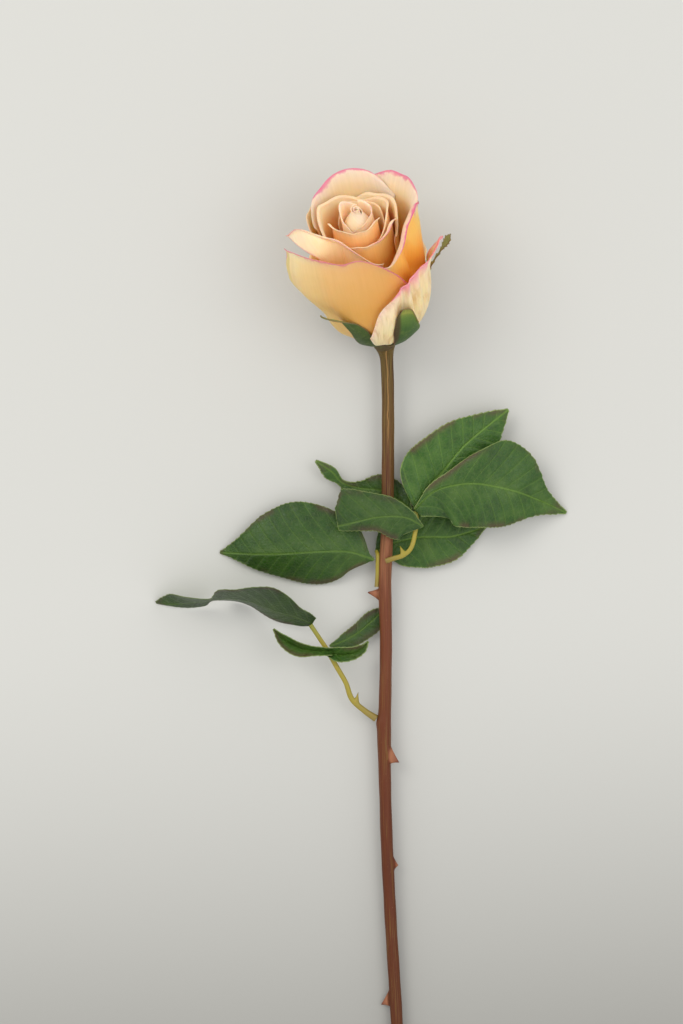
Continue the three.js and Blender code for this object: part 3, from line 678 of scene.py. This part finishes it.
# Sepals and their seat
def sepal_paint(name, skin, shadow=0.0):
    """Sepal: own colours from foot to tip, with a painted shadow along the left margin that widens towards
    the tip as fast as shadow says.
    """
    paint = Paint(name, Roughness=0.55, Subsurface_Weight=0.1, Subsurface_Scale=0.0015,
                  Subsurface_Radius=(0.6, 1.0, 0.3), Specular_IOR_Level=0.35)
    place = paint.vector("place")
    across, along = paint.split(place)[:2]
    height, rim, side = paint.split(paint.vector("form"))
    patch = paint.noise(place, 0.4, 4.0, 0.6)
    inner = paint.ramp(height, [(0.0, 130, 140, 80), (1.0, 150, 156, 96)])
    face = paint.mix(side, inner, paint.ramp(height, skin))
    face = paint.mix(paint.spread(patch, 0.45, 0.8, 0.0, 0.6), face, tone(104, 122, 52))
    lines = paint.streaks(across, 2.2, along, 0.12, side)
    face = paint.mix(paint.spread(lines, 0.55, 0.75, 0.0, 0.5), face, tone(54, 66, 28))
    face = paint.mix(paint.spread(rim, 0.5, 0.05, 0.0, 0.6), face, tone(126, 84, 60))
    # Painted shadow: dark brown along the left margin, widening towards the tip
    if shadow:
        low = paint.minus(paint.times(height, shadow), 1.5)
        margin = paint.spread(paint.plus(across, paint.minus(4.6, low)), 1.0, -0.4)
        face = paint.mix(paint.times(margin, 0.8), face, tone(70, 40, 22))
    paint.color(face)
    paint.bump(paint.plus(lines, patch), 0.0003, 0.7)
    return paint.material


GREEN_SEPAL = sepal_paint("sepal green", [(0.0, 60, 80, 26), (0.35, 50, 72, 22), (0.7, 76, 94, 34),
                                          (1.0, 128, 142, 54)])
# The front sepal carries the painted shadow along its left margin
FRONT_SEPAL = sepal_paint("sepal front", [(0.0, 40, 66, 26), (0.5, 60, 92, 34), (0.68, 92, 118, 44),
                                          (0.8, 146, 148, 64), (1.0, 138, 140, 60)], 2.0)
SEAT_PAINT = sepal_paint("sepal seat", [(0.0, 84, 66, 34), (1.0, 92, 80, 38)])
HIDDEN_WIDTHS = (2.3, 1.5, 1.15, 1.05, 1.0, 0.95, 0.85, 0.7, 0.5, 0.3, 0.08)
# Form, share of the full width at even steps from foot to tip, how far the side teeth stand out, and how far
# the foot sits outside the petals
SEPALS = {
    "sepal_left": (
        petal(-52, 7, 0.8, 33, 5, 3, flare=6, flare_at=(26, 7), lean=26,
              grow_at=(0.42, 0.5)),
        (2, 2, 1.9, 1.7, 1.6, 1.6, 1.4, 1, 0.5, 0.22, 0.05), 0.0, 3.2),
    "sepal_front": (
        petal(27, 16, -1.9, (31, 31.6, 31.4, 31, 30.4, 29, 26, 23, 21), 25, 3),
        (1.8, 1.2, 1.1, 1.1, 1.12, 1.12, 1, 0.86, 0.74, 0.65, 0.58), 0.0, 3.6),
    "sepal_right": (
        petal(104, 6, (-1, -1.1, -1), 39, 20, 5, flare=10),
        (2.3, 1.6, 1.3, 1.1, 0.7, 0.3, 0.12, 0.1, 0.42, 0.5, 0.05), 0.3, 5.6),
    "sepal_back": (petal(150, 11, -6.4, 14, 0, 4), HIDDEN_WIDTHS, 0.1, 5.6),
    "sepal_under": (petal(-136, 11, -6.4, 18, 0, 4), HIDDEN_WIDTHS, 0.1, 5.6),
}
SEPAL_ROWS = 120
SEPAL_COLS = 24
SEPAL_TEETH = 16
SEPAL_THICK = 0.35
SEAT_SIDES = 48


def build_sepal(name, p, widths, teeth, start):
    v, s = sheet_grid(np.linspace(0, 1, SEPAL_ROWS + 1), SEPAL_COLS)
    saw = (v * SEPAL_TEETH + 0.3 * (s > 0)) % 1.0
    tooth = teeth * saw ** 2 * ease((v - 0.35) / 0.1) * ease((1 - v) / 0.06) * np.abs(s) ** 3
    grid = cup_sheet(p, along_knots(widths, v) + tooth, v, s, max(0.0, start + across_knots(p["layer"], 0.0)))
    across, along, to_side, to_top = grid_lengths(grid)
    paint = FRONT_SEPAL if name == "sepal_front" else GREEN_SEPAL
    make_sheet(name, "sepal", paint, grid, SEPAL_THICK * (1 + (1 - np.abs(s)) ** 2), v,
               np.minimum(to_top, to_side), place=np.stack([across, along, to_top], -1))


def build_seat():
    points, faces = capped(seat_rings(SEAT_FINE, SEAT_SIDES), (0.5,))
    # All of it is outer side, at the foot and well away from a rim
    form = np.tile([0.0, 3.0, 1.0], (len(points), 1))
    make_piece("receptacle", "sepal", [SEAT_PAINT], points, faces, place=points, form=form)


for name, row in SEPALS.items():
    build_sepal(name, *row)
build_seat()

# Stem from the cut to the bloom, with the radius last
STEM = np.array([
    [6.8, -329, -7.55, 2.45],
    [5, -275, -6.6, 2.4],
    [2.6, -234, -5.9, 2.4],
    [0.9, -201, -5.3, 2.45],
    [0.1, -176, -4.85, 2.45],
    [-0.3, -155, -4.5, 2.8],
    [0.1, -142, -4.25, 2.5],
    [0.4, -118, -3.8, 2.45],
    [0, -95, -3.45, 2.6],
    [0.9, -72, -3, 2.5],
    [1.2, -45, -2.55, 2.5],
    [1.2, -20, -2.1, 2.5],
    [0.8, -7.5, -1.8, 2.6],
    [0.45, -3, -1.35, 3.1],
    [0, 0, 0, 4.2],
])
# Thorns: place along the stem, turn round it, how far the tip stands out, length of the foot
THORNS = [
    (-99.8, 0, (-4.9, 0.9, 0.2), 2.5),
    (-164, 144, (3.9, -3.2, 1.4), 4.2),
    (-208, 180, (1.8, -0.8, 0.2), 3.0),
    (-262, 324, (-4.0, -3.0, -0.4), 4.2),
    (-301, 216, (3.6, -2.8, -0.6), 4.2),
]
THORN_TURN = 42
THORN_REACH = 6
# Gap between rings at the thorns, and the least gap
THORN_STEP = 0.35
LEAST_STEP = 0.2
STEM_SIDES = 40
# Where the stem starts to turn into the axis of the bloom, and where the lowest stalk leaves
NECK = 9
COLLAR_AT = -151.5
COLLAR_TURN = 20
STEM_LENGTH = 330.0
STEM_GIRTH = 15.7
CUT_RADIUS = 2.45
# Pale seam on the upper side, in millimetres round the stem
SEAM = 3.9


def stem_paint():
    paint = Paint("stem bark", Roughness=0.48, Subsurface_Weight=0.04, Subsurface_Scale=0.001,
                  Subsurface_Radius=(1.0, 0.4, 0.2), Specular_IOR_Level=0.22)
    turn, along, thorn = paint.split(paint.vector("place"))
    drift = paint.minus(paint.streaks(turn, 0.8, along, 0.03), 0.5)
    share = paint.over(paint.plus(paint.plus(along, paint.times(drift, 50.0)), STEM_LENGTH), STEM_LENGTH)
    body = paint.ramp(share, [(0.0, 86, 42, 14), (0.4, 90, 40, 14), (0.56, 102, 50, 22), (0.7, 110, 58, 34),
                              (0.755, 142, 90, 60), (0.8, 98, 58, 28), (1.0, 98, 78, 34)])
    fibre = paint.streaks(turn, 3.2, along, 0.04, detail=4.0, rough=0.6)
    upper = paint.spread(share, 0.76, 0.84, 0.35, 0.9)
    body = paint.mix(paint.times(paint.spread(fibre, 0.5, 0.64), upper), body, tone(58, 26, 12))
    body = paint.mix(paint.times(paint.spread(fibre, 0.46, 0.34), upper), body, tone(128, 108, 50))
    drift = paint.minus(paint.noise(paint.join(0.0, along, 0.0), 0.12, 2.0), 0.5)
    from_seam = paint.size(paint.minus(paint.plus(turn, paint.times(drift, 1.6)), SEAM))
    seam = paint.times(paint.spread(from_seam, 0.3, 0.08), paint.spread(along, -50.0, -34.0))
    body = paint.mix(paint.times(seam, 0.7), body, tone(166, 124, 72))
    worn = paint.times(paint.spread(from_seam, 1.3, 0.3), paint.spread(along, -34.0, -46.0))
    worn = paint.times(worn, paint.spread(along, -74.0, -66.0))
    body = paint.mix(paint.times(worn, paint.spread(fibre, 0.4, 0.6, 0.2, 0.8)), body, tone(74, 34, 18))
    pores = paint.streaks(turn, 1.5, along, 0.8, scale=1.3)
    body = paint.mix(paint.spread(pores, 0.66, 0.74, 0.0, 0.5), body, tone(142, 106, 68))
    spike = paint.ramp(paint.over(thorn, 5.0), [(0.0, 120, 66, 42), (0.35, 150, 96, 66), (1.0, 110, 60, 46)])
    paint.color(paint.mix(paint.spread(thorn, 0.3, 1.4), body, spike))
    paint.roughness(paint.spread(fibre, 0.3, 0.7, 0.36, 0.55))
    paint.bump(paint.plus(fibre, paint.times(pores, 0.4)), 0.0002, 0.6)
    return paint.material


def cut_paint():
    paint = Paint("cut wood", Roughness=0.75, Specular_IOR_Level=0.25)
    place = paint.vector("place")
    grain = paint.noise(place, 1.6, 4.0)
    body = paint.ramp(paint.over(paint.split(place)[2], CUT_RADIUS),
                      [(0.0, 150, 130, 84), (0.35, 214, 206, 160), (0.8, 196, 190, 130), (0.93, 124, 130, 70),
                       (1.0, 100, 62, 40)])
    paint.color(paint.mix(paint.spread(grain, 0.4, 0.7, 0.0, 0.35), body, tone(168, 142, 96)))
    paint.bump(grain, 0.0002, 0.7)
    return paint.material


def build_stem():
    lengths = list(np.arange(STEM[0, 1], 0.0, 1.0))
    for y in [thorn[0] for thorn in THORNS]:
        lengths += list(np.arange(y - THORN_REACH, y + THORN_REACH, THORN_STEP))
    lengths = np.unique(np.round(lengths, 3))
    lengths = lengths[np.concatenate([[True], np.diff(lengths) > LEAST_STEP])]
    lengths = np.append(lengths, 0.0)
    steps = np.linspace(0, 1, 20001)
    t = np.interp(lengths, along_knots(STEM[:, 1], steps), steps)
    at = along_knots(STEM[:, :3], t)
    at[-1] = 0
    bend = ease((lengths + NECK) / NECK)[:, None]
    ahead = path_ahead(STEM[:, :3], t, 0.01) * (1 - bend) + AXIS * bend
    rings, out, angle = bar_rings(at, ahead, along_knots(STEM[:, 3], t), STEM_SIDES)
    lengths = lengths[:, None]
    ridge = 0.05 * np.sin(angle * DEG * 5 + lengths * 0.02) + 0.04 * np.sin(lengths * 0.35)
    rings = rings + out * ridge[..., None]
    thorn_out = np.zeros(rings.shape[:2])
    for y, around, move, foot in THORNS:
        near = np.hypot((lengths - y) / foot, angle_from(angle, around) / THORN_TURN)
        weight = clamp(1 - near, 0, 1) ** 1.35
        rings = rings + weight[..., None] * np.array(move)
        thorn_out = np.maximum(thorn_out, weight * np.linalg.norm(move))
    collar = bell((lengths - COLLAR_AT) / 2.2) * bell(angle_from(angle, COLLAR_TURN) / 55)
    rings = rings + out * (0.55 * collar)[..., None]
    points, faces = capped(rings, (0.85, 0.6, 0.3))
    bark = np.stack(np.broadcast_arrays(angle / 360 * STEM_GIRTH, lengths, thorn_out), -1).reshape(-1, 3)
    ends = points[len(bark):]
    reach = np.minimum(np.linalg.norm(ends - at[0], axis=1), CUT_RADIUS)
    place = np.concatenate([bark, np.column_stack([ends[:, :2], reach])])
    # The first end is the cut face: three rings of faces and the middle one
    cut = np.zeros(len(faces), bool)
    sides_end = len(bark) - STEM_SIDES
    cut[sides_end:sides_end + 4 * STEM_SIDES] = True
    make_piece("stem", "stem", [stem_paint(), cut_paint()], points, faces, cut, place=place)


build_stem()

# Leaf stalks, with the radius last
STALKS = {
    "stalk_a": [
        (0.4, -86.4, 0.8, 1.05), (3.5, -85.3, 1.9, 1), (7, -84.2, 2.1, 0.95), (9.8, -82, 2.1, 0.9),
        (11.2, -79, 1.9, 0.9), (12.2, -74, 1.2, 0.9), (12.6, -70, 0.6, 0.9), (12.2, -66.4, 0.3, 0.8),
    ],
    "stalk_b": [
        (-3.3, -96.8, -3.2, 0.9), (-3.05, -92, -2.9, 0.8), (-2.95, -87, -2.8, 0.8), (-2.9, -84, -3.2, 0.8),
        (-3.4, -82.4, -4.8, 0.75),
    ],
    "stalk_c": [
        (-3.6, -149.6, -4.2, 1.5), (-8, -146.6, -3.4, 1.2), (-13.2, -141.8, -2.2, 1.1),
        (-15.7, -135.1, -1.2, 1), (-19.5, -128.5, -0.6, 1), (-23.4, -121.6, -0.2, 0.95),
        (-26.4, -117, 0, 0.9), (-29.8, -111.9, 0.3, 0.9),
    ],
}
# Spurs: place along the stalk from 0 to 1, turn round it, how far the tip stands out
SPURS = {"stalk_a": (5 / 16, 0, (-1.3, 3.0, 0.2)), "stalk_c": (4 / 16, 180, (0.6, 3.6, 0.4))}
SPUR_FOOT = 1.5
SPUR_TURN = 70
STALK_ROWS = 120
STALK_SIDES = 20


def stalk_paint():
    paint = Paint("leaf stalk", Roughness=0.4, Subsurface_Weight=0.15, Subsurface_Scale=0.001,
                  Subsurface_Radius=(1.0, 0.8, 0.3), Specular_IOR_Level=0.4)
    place = paint.vector("place")
    turn, along, share = paint.split(place)
    lines = paint.streaks(turn, 2.0, along, 0.1)
    body = paint.ramp(share, [(0.0, 130, 108, 50), (0.3, 150, 134, 42), (0.8, 154, 138, 40),
                              (1.0, 134, 136, 48)])
    body = paint.mix(paint.spread(lines, 0.5, 0.7, 0.0, 0.5), body, tone(132, 124, 48))
    body = paint.mix(paint.spread(paint.noise(place, 0.5), 0.58, 0.72, 0.0, 0.4), body, tone(196, 150, 50))
    paint.color(body)
    paint.bump(lines, 0.0002, 0.5)
    return paint.material


STALK_PAINT = stalk_paint()


def build_stalk(name, path):
    path = np.array(path, float)
    t = np.linspace(0, 1, STALK_ROWS + 1)
    at = along_knots(path[:, :3], t)
    length = np.concatenate([[0], np.cumsum(np.linalg.norm(np.diff(at, axis=0), axis=1))])[:, None]
    ahead = path_ahead(path[:, :3], t, 0.01)
    rings, out, angle = bar_rings(at, ahead, along_knots(path[:, 3], t), STALK_SIDES)
    t = t[:, None]
    # Shallow groove along the upper side
    rings = rings - out * (0.16 * bell(angle_from(angle, 90) / 28))[..., None]
    if name in SPURS:
        where, around, move = SPURS[name]
        near = np.hypot((t - where) * length[-1] / SPUR_FOOT, angle_from(angle, around) / SPUR_TURN)
        rings = rings + (clamp(1 - near, 0, 1) ** 1.6)[..., None] * np.array(move)
    points, faces = capped(rings, (0.5,))
    body = np.stack(np.broadcast_arrays(angle / 60, length, t), -1).reshape(-1, 3)
    place = np.concatenate([body, np.tile(body[0], (len(points) - len(body), 1))])
    make_piece(name, "leaf_stalk", [STALK_PAINT], points, faces, place=place)


for name, path in STALKS.items():
    build_stalk(name, path)

# Leaf blades: points of the rib, width to the left and right of it, tilt to the left and right, and sag
LEAFLETS = {
    "leaf_a_front": (
        [(15, -72.6, 3.2), (9.2, -69.3, 4.4), (2.7, -68.5, 5.2), (-3.7, -69, 5.4), (-9.2, -70.2, 5.2),
         (-14.7, -71.6, 4.8), (-18.8, -72.3, 4.2)],
        (0.5, 8.2, 8.5, 5.4, 4, 2.6, 1.8), (0.5, 3.2, 7.2, 9.6, 12.4, 13.4, 6.6), -12, 8, 1),
    "leaf_a_right": (
        [(11.8, -65.8, 1.8), (19.2, -58.9, 3.4), (27.5, -56.2, 4.6), (35.8, -55.5, 5.1), (44, -56.7, 4.4),
         (53.2, -58.9, 1.6), (63.3, -62.7, -3.6), (73, -67, -9.4)],
        (0.5, 2.9, 6.2, 12.1, 18.4, 15.8, 4.8, 0.5), (3.6, 13.4, 16.5, 17, 16.1, 13.4, 5.5, 0.5), 8, 8, 1),
    "leaf_a_upper": (
        [(12.1, -65.6, 0.2), (17, -57, 0.4), (22.8, -51, 0.6), (31, -41, 0.8), (39.6, -33.5, -0.4),
         (49.4, -25.8, -4)],
        (0.5, 13, 15, 11.6, 6.6, 0.5), (0.5, 8, 13, 14.5, 9, 0.5), 10, -8, 1),
    "leaf_a_behind": (
        [(10.6, -66, -1.2), (5, -61.5, -6.4), (-2, -58, -7), (-10, -57.2, -7), (-17, -55, -6),
         (-21.5, -50.5, -4.4), (-27.6, -46.4, -3.4)],
        (0.5, 5, 9, 8, 1.8, 3.2, 0.5), (0.5, 5, 6, 2.6, 1.1, 1.9, 0.5), 0, 4, 0),
    "leaf_b_left": (
        [(-4.5, -86, -0.9), (-7.6, -84.7, -0.9), (-14.7, -82.7, -0.6), (-23.9, -82.6, -0.2),
         (-33.1, -83.1, 0), (-42.3, -83.6, -0.8), (-51.5, -83.7, -3), (-59.7, -83.4, -6),
         (-66.2, -83.1, -9.4)],
        (0.5, 3.6, 10.4, 14.1, 13.4, 10.3, 7.1, 2.9, 0.5), (0.5, 2.6, 12, 17.4, 19.8, 18.5, 13.7, 5.2, 0.5),
        -28, 2, 0.8),
    "leaf_b_behind": (
        [(-3.6, -82.4, -6.6), (3, -79.4, -7.2), (12.4, -77.2, -7), (19, -76.8, -6.8), (26, -76.8, -6.8),
         (33, -75.2, -7.6), (40.4, -72.8, -9.2)],
        (0.5, 9, 12, 12, 11, 7, 0.5), (0.5, 8.6, 11.6, 11.6, 9.6, 5.2, 0.5), 3, 3, 0.5),
    "leaf_c_end": (
        [(-29.2, -111.4, 0.6), (-36, -108.6, 2), (-44, -106.4, 3), (-54, -102.6, 3), (-64, -101.4, 2),
         (-74, -102.6, -0.6), (-84, -103.6, -5), (-92, -103.2, -9)],
        (2, 5, 7, 8.4, 9.2, 10, 10.5, 10.2, 9.5, 2.2, 7, 5.4, 2.6, 1.4, 0.5),
        (4, 5.6, 7, 11.4, 15.5, 18.6, 16.2, 12.4, 12.4, 2.2, 9, 8.6, 6.5, 3.2, 0.5),
        (-55, -60, -68, -80, -84, -75, -60, -50), (50, 55, 58, 69, 74, 77, 55, 50), 0),
    "leaf_c_left": (
        [(-21.4, -122.2, 1.7), (-28.6, -122, 3), (-34.5, -120.8, 4), (-39.8, -117.8, 4.6),
         (-44.4, -113.6, 4.5)],
        (2.4, 3, 5, 4.2, 0.5), (1.8, 2.3, 3, 2.5, 0.5), 50, 50, 0),
    "leaf_c_low": (
        [(-22.4, -122.8, 1.2), (-18.2, -123.6, 2.4), (-13, -123.1, 3.2), (-9, -121.2, 3.3),
         (-6.9, -118.6, 3)],
        (2, 3.8, 3.4, 2.1, 0.4), (2, 3.8, 3.4, 2.1, 0.4), 45, 45, 0),
    "leaf_c_upper": (
        [(-22, -120.4, -1.4), (-16, -118.2, -3), (-10, -114.7, -5.4), (-4.4, -109.9, -7.2),
         (1, -104.8, -7.6)],
        (0.5, 2.4, 3.2, 3.4, 0.5), (0.5, 3.4, 4, 4.2, 0.5), 0, 0, 0),
}
# How light each leaflet is against the others
SHADES = {"leaf_a_front": 0.8, "leaf_a_upper": 1.3, "leaf_a_right": 1.05, "leaf_b_left": 0.88,
          "leaf_b_behind": 1.1, "leaf_c_end": 0.6, "leaf_c_upper": 0.8}
LEAF_COLS = 20
LEAF_THICK = 0.3
LEAST_WIDTH = 0.45
EDGE_FROM = 0.7
TOOTH_GAP = 1.9
ROWS_PER_TOOTH = 6
MOST_ROWS = 170
TOOTH_OUT = 0.34
# Side veins: gap along the rib, how far they lean to the tip, and how much they bend back
VEIN_GAP = 5.2
VEIN_LEAN = 0.85
VEIN_BEND = 0.012


def leaf_paint():
    paint = Paint("leaf green", Roughness=0.42, Subsurface_Weight=0.06, Subsurface_Scale=0.001,
                  Subsurface_Radius=(0.5, 1.0, 0.2), Specular_IOR_Level=0.3)
    place = paint.vector("place")
    across, along = paint.split(place)[:2]
    rim, under = paint.split(paint.vector("form"))[1:]
    shade = paint.split(paint.vector("marks"))[0]
    reach = paint.size(across)
    leaning = paint.minus(along, paint.times(reach, VEIN_LEAN))
    phase = paint.over(paint.plus(leaning, paint.times(paint.times(reach, reach), VEIN_BEND)), VEIN_GAP)
    vein_mm = paint.times(paint.size(paint.minus(paint.math("FRACT", phase), 0.5)), VEIN_GAP)
    side_vein = paint.times(paint.spread(vein_mm, 0.42, 0.08), 0.4)
    vein = paint.math("MAXIMUM", side_vein, paint.spread(reach, 0.62, 0.2))
    side_halo = paint.times(paint.spread(vein_mm, 1.6, 0.2), 0.5)
    halo = paint.math("MAXIMUM", side_halo, paint.spread(reach, 2.4, 0.3))
    net = paint.spread(paint.cells(paint.join(across, along, 0.0), 0.75), 0.16, 0.02)
    patch = paint.noise(place, 0.08, 4.0, 0.6)
    speck = paint.noise(place, 0.9, 3.0, 0.6)
    body = paint.ramp(patch, [(0.3, 26, 54, 12), (0.5, 42, 76, 18), (0.7, 66, 94, 34)])
    body = paint.mix(paint.spread(speck, 0.4, 0.75, 0.0, 0.3), body, tone(78, 96, 42))
    body = paint.mix(paint.times(halo, 0.2), body, tone(74, 104, 36))
    body = paint.mix(paint.times(net, 0.15), body, tone(84, 108, 44))
    body = paint.mix(paint.times(vein, 0.6), body, tone(96, 126, 46))
    margin = paint.times(paint.spread(rim, 3.4, 0.2), paint.spread(paint.noise(place, 0.06, 2.0), 0.46, 0.62))
    body = paint.mix(paint.times(margin, 0.75), body, tone(80, 58, 44))
    body = paint.mix(paint.spread(rim, 0.35, 0.05, 0.0, 0.7), body, tone(132, 146, 82))
    back = paint.mix(vein, tone(104, 124, 72), tone(134, 150, 88))
    paint.color(paint.mix(under, paint.shaded(body, shade, shade, shade), back))
    paint.roughness(paint.spread(speck, 0.3, 0.7, 0.3, 0.46))
    relief = paint.plus(paint.times(net, -0.5), paint.times(speck, 0.4))
    paint.bump(paint.plus(relief, paint.times(vein, -0.9)), 0.00025, 0.8)
    return paint.material


LEAF_PAINT = leaf_paint()


def build_leaf(name, number, rib, left, right, left_tilt, right_tilt, sag):
    rib = np.array(rib, float)
    length = np.linalg.norm(np.diff(along_knots(rib, np.linspace(0, 1, 200)), axis=0), axis=1).sum()
    teeth = max(8, int(round(length / TOOTH_GAP)))
    t = np.linspace(0, 1, min(MOST_ROWS, teeth * ROWS_PER_TOOTH) + 1)
    t, q = np.meshgrid(t, np.linspace(-1, 1, 2 * LEAF_COLS + 1), indexing="ij")
    at = along_knots(rib, t)
    ahead = path_ahead(rib, t, 0.02)
    flat = unit(np.cross(UP, ahead))
    lift = np.cross(ahead, flat)
    tilt = np.where(q > 0, along_knots(left_tilt, t), along_knots(right_tilt, t)) * DEG
    width = np.maximum(LEAST_WIDTH, np.where(q > 0, along_knots(left, t), along_knots(right, t)))
    near_edge = clamp((np.abs(q) - EDGE_FROM) / (1 - EDGE_FROM), 0, 1) ** 2
    saw = (t * teeth + 0.35 * (q > 0)) % 1.0
    tooth = (saw ** 1.3 - 0.35) * near_edge * ease((width - 1.0) / 2.0)
    wide = width + (0.25 + 0.02 * width) * (width > 2)
    reach = wide * np.abs(q) + TOOTH_OUT * tooth
    across = reach * np.sign(q)
    along = t * length
    phase = (along - VEIN_LEAN * reach + VEIN_BEND * reach * reach) / VEIN_GAP
    vein_mm = np.abs(phase % 1.0 - 0.5) * VEIN_GAP
    relief = -0.3 * bell(reach / 0.7) - 0.16 * bell(vein_mm / 0.55) * ease(reach / 1.5)
    relief = relief + 0.12 * np.sin(2 * math.pi * phase) * ease(reach / 3)
    wave = 0.5 * np.sin(along / 5.5 + number) * q * q + 0.25 * np.sin(along / 2.9 + 2 * number) * near_edge
    rise = reach * np.sin(tilt) - 0.01 * sag * reach * reach + ease(width / 5) * (relief + wave)
    grid = (at + flat * (across * np.cos(tilt))[..., None] + lift * rise[..., None]
            + ahead * (0.25 * near_edge * saw)[..., None])
    grid[..., 2] = np.maximum(grid[..., 2], LEAF_LOWEST)
    rim = np.minimum(wide - wide * np.abs(q), (1 - t) * length)
    make_sheet(name, "leaf", LEAF_PAINT, grid, LEAF_THICK * (1 + bell(reach / 0.8)), t, rim,
               place=np.stack([across, along, width], -1),
               marks=np.stack([SHADES.get(name, 1.0) + 0 * t, 0 * t, 0 * t], -1))


for number, (name, row) in enumerate(LEAFLETS.items()):
    build_leaf(name, number, *row)

# Floor and lights, in metres
FLOOR_HALF = 3.0


def build_floor():
    """Floor with painted shade: its colour darkens towards the lower edge of the picture, a little more on
    the right.
    """
    corners = np.array([(-1, -1, 0), (1, -1, 0), (1, 1, 0), (-1, 1, 0)]) * FLOOR_HALF
    mesh = bpy.data.meshes.new("floor")
    mesh.from_pydata(corners.tolist(), [], [(0, 1, 2, 3)])
    paint = Paint("floor", Roughness=0.9, Specular_IOR_Level=0.1)
    across, along = paint.split(paint.vector("place"))[:2]
    floor_shade = paint.spread(paint.minus(paint.times(across, 0.08), along), -0.04, 0.3)
    paint.color(paint.ramp(floor_shade, [(0.0, 199, 197, 190), (1.0, 114, 111, 104)]))
    mesh.materials.append(paint.material)
    add_layer(mesh, "place", corners)
    link_object("floor", mesh)


AIM = Vector((0, 0.05, 0.02))


def add_light(name, place, size, power, color):
    light = bpy.data.lights.new(name, "AREA")
    light.shape = "DISK"
    light.size = size
    light.energy = power
    light.color = color
    thing = link_object(name, light)
    thing.location = place
    thing.rotation_euler = (AIM - Vector(place)).to_track_quat("-Z", "Y").to_euler()


build_floor()
add_light("key light", (-0.9, 0.75, 1.25), 0.9, 7.2, (1.0, 0.985, 0.95))
add_light("fill light", (0.9, 0.2, 1.6), 1.2, 6.2, (0.98, 0.99, 1.0))

world = bpy.data.worlds.new("studio air")
world.use_nodes = True
air = world.node_tree.nodes["Background"].inputs
air["Color"].default_value = (0.95, 0.97, 1.0, 1.0)
air["Strength"].default_value = 1.02
bpy.context.scene.world = world

# Camera, in the frame of the rose: the picture is 409.6 mm tall at the height of the stem
VIEW_POINT = (-17.4, -66.8, 1300.0)
VIEW_HEIGHT = 409.6
SENSOR = 24.0
camera = bpy.data.cameras.new("camera")
camera.sensor_fit = "VERTICAL"
camera.sensor_height = SENSOR
camera.lens = SENSOR * VIEW_POINT[2] / VIEW_HEIGHT
camera.clip_end = 20
camera_thing = link_object("camera", camera)
camera_thing.location = ((np.array(VIEW_POINT) + SHIFT) * MM).tolist()
bpy.context.scene.camera = camera_thing
bpy.context.scene.view_settings.view_transform = "Standard"
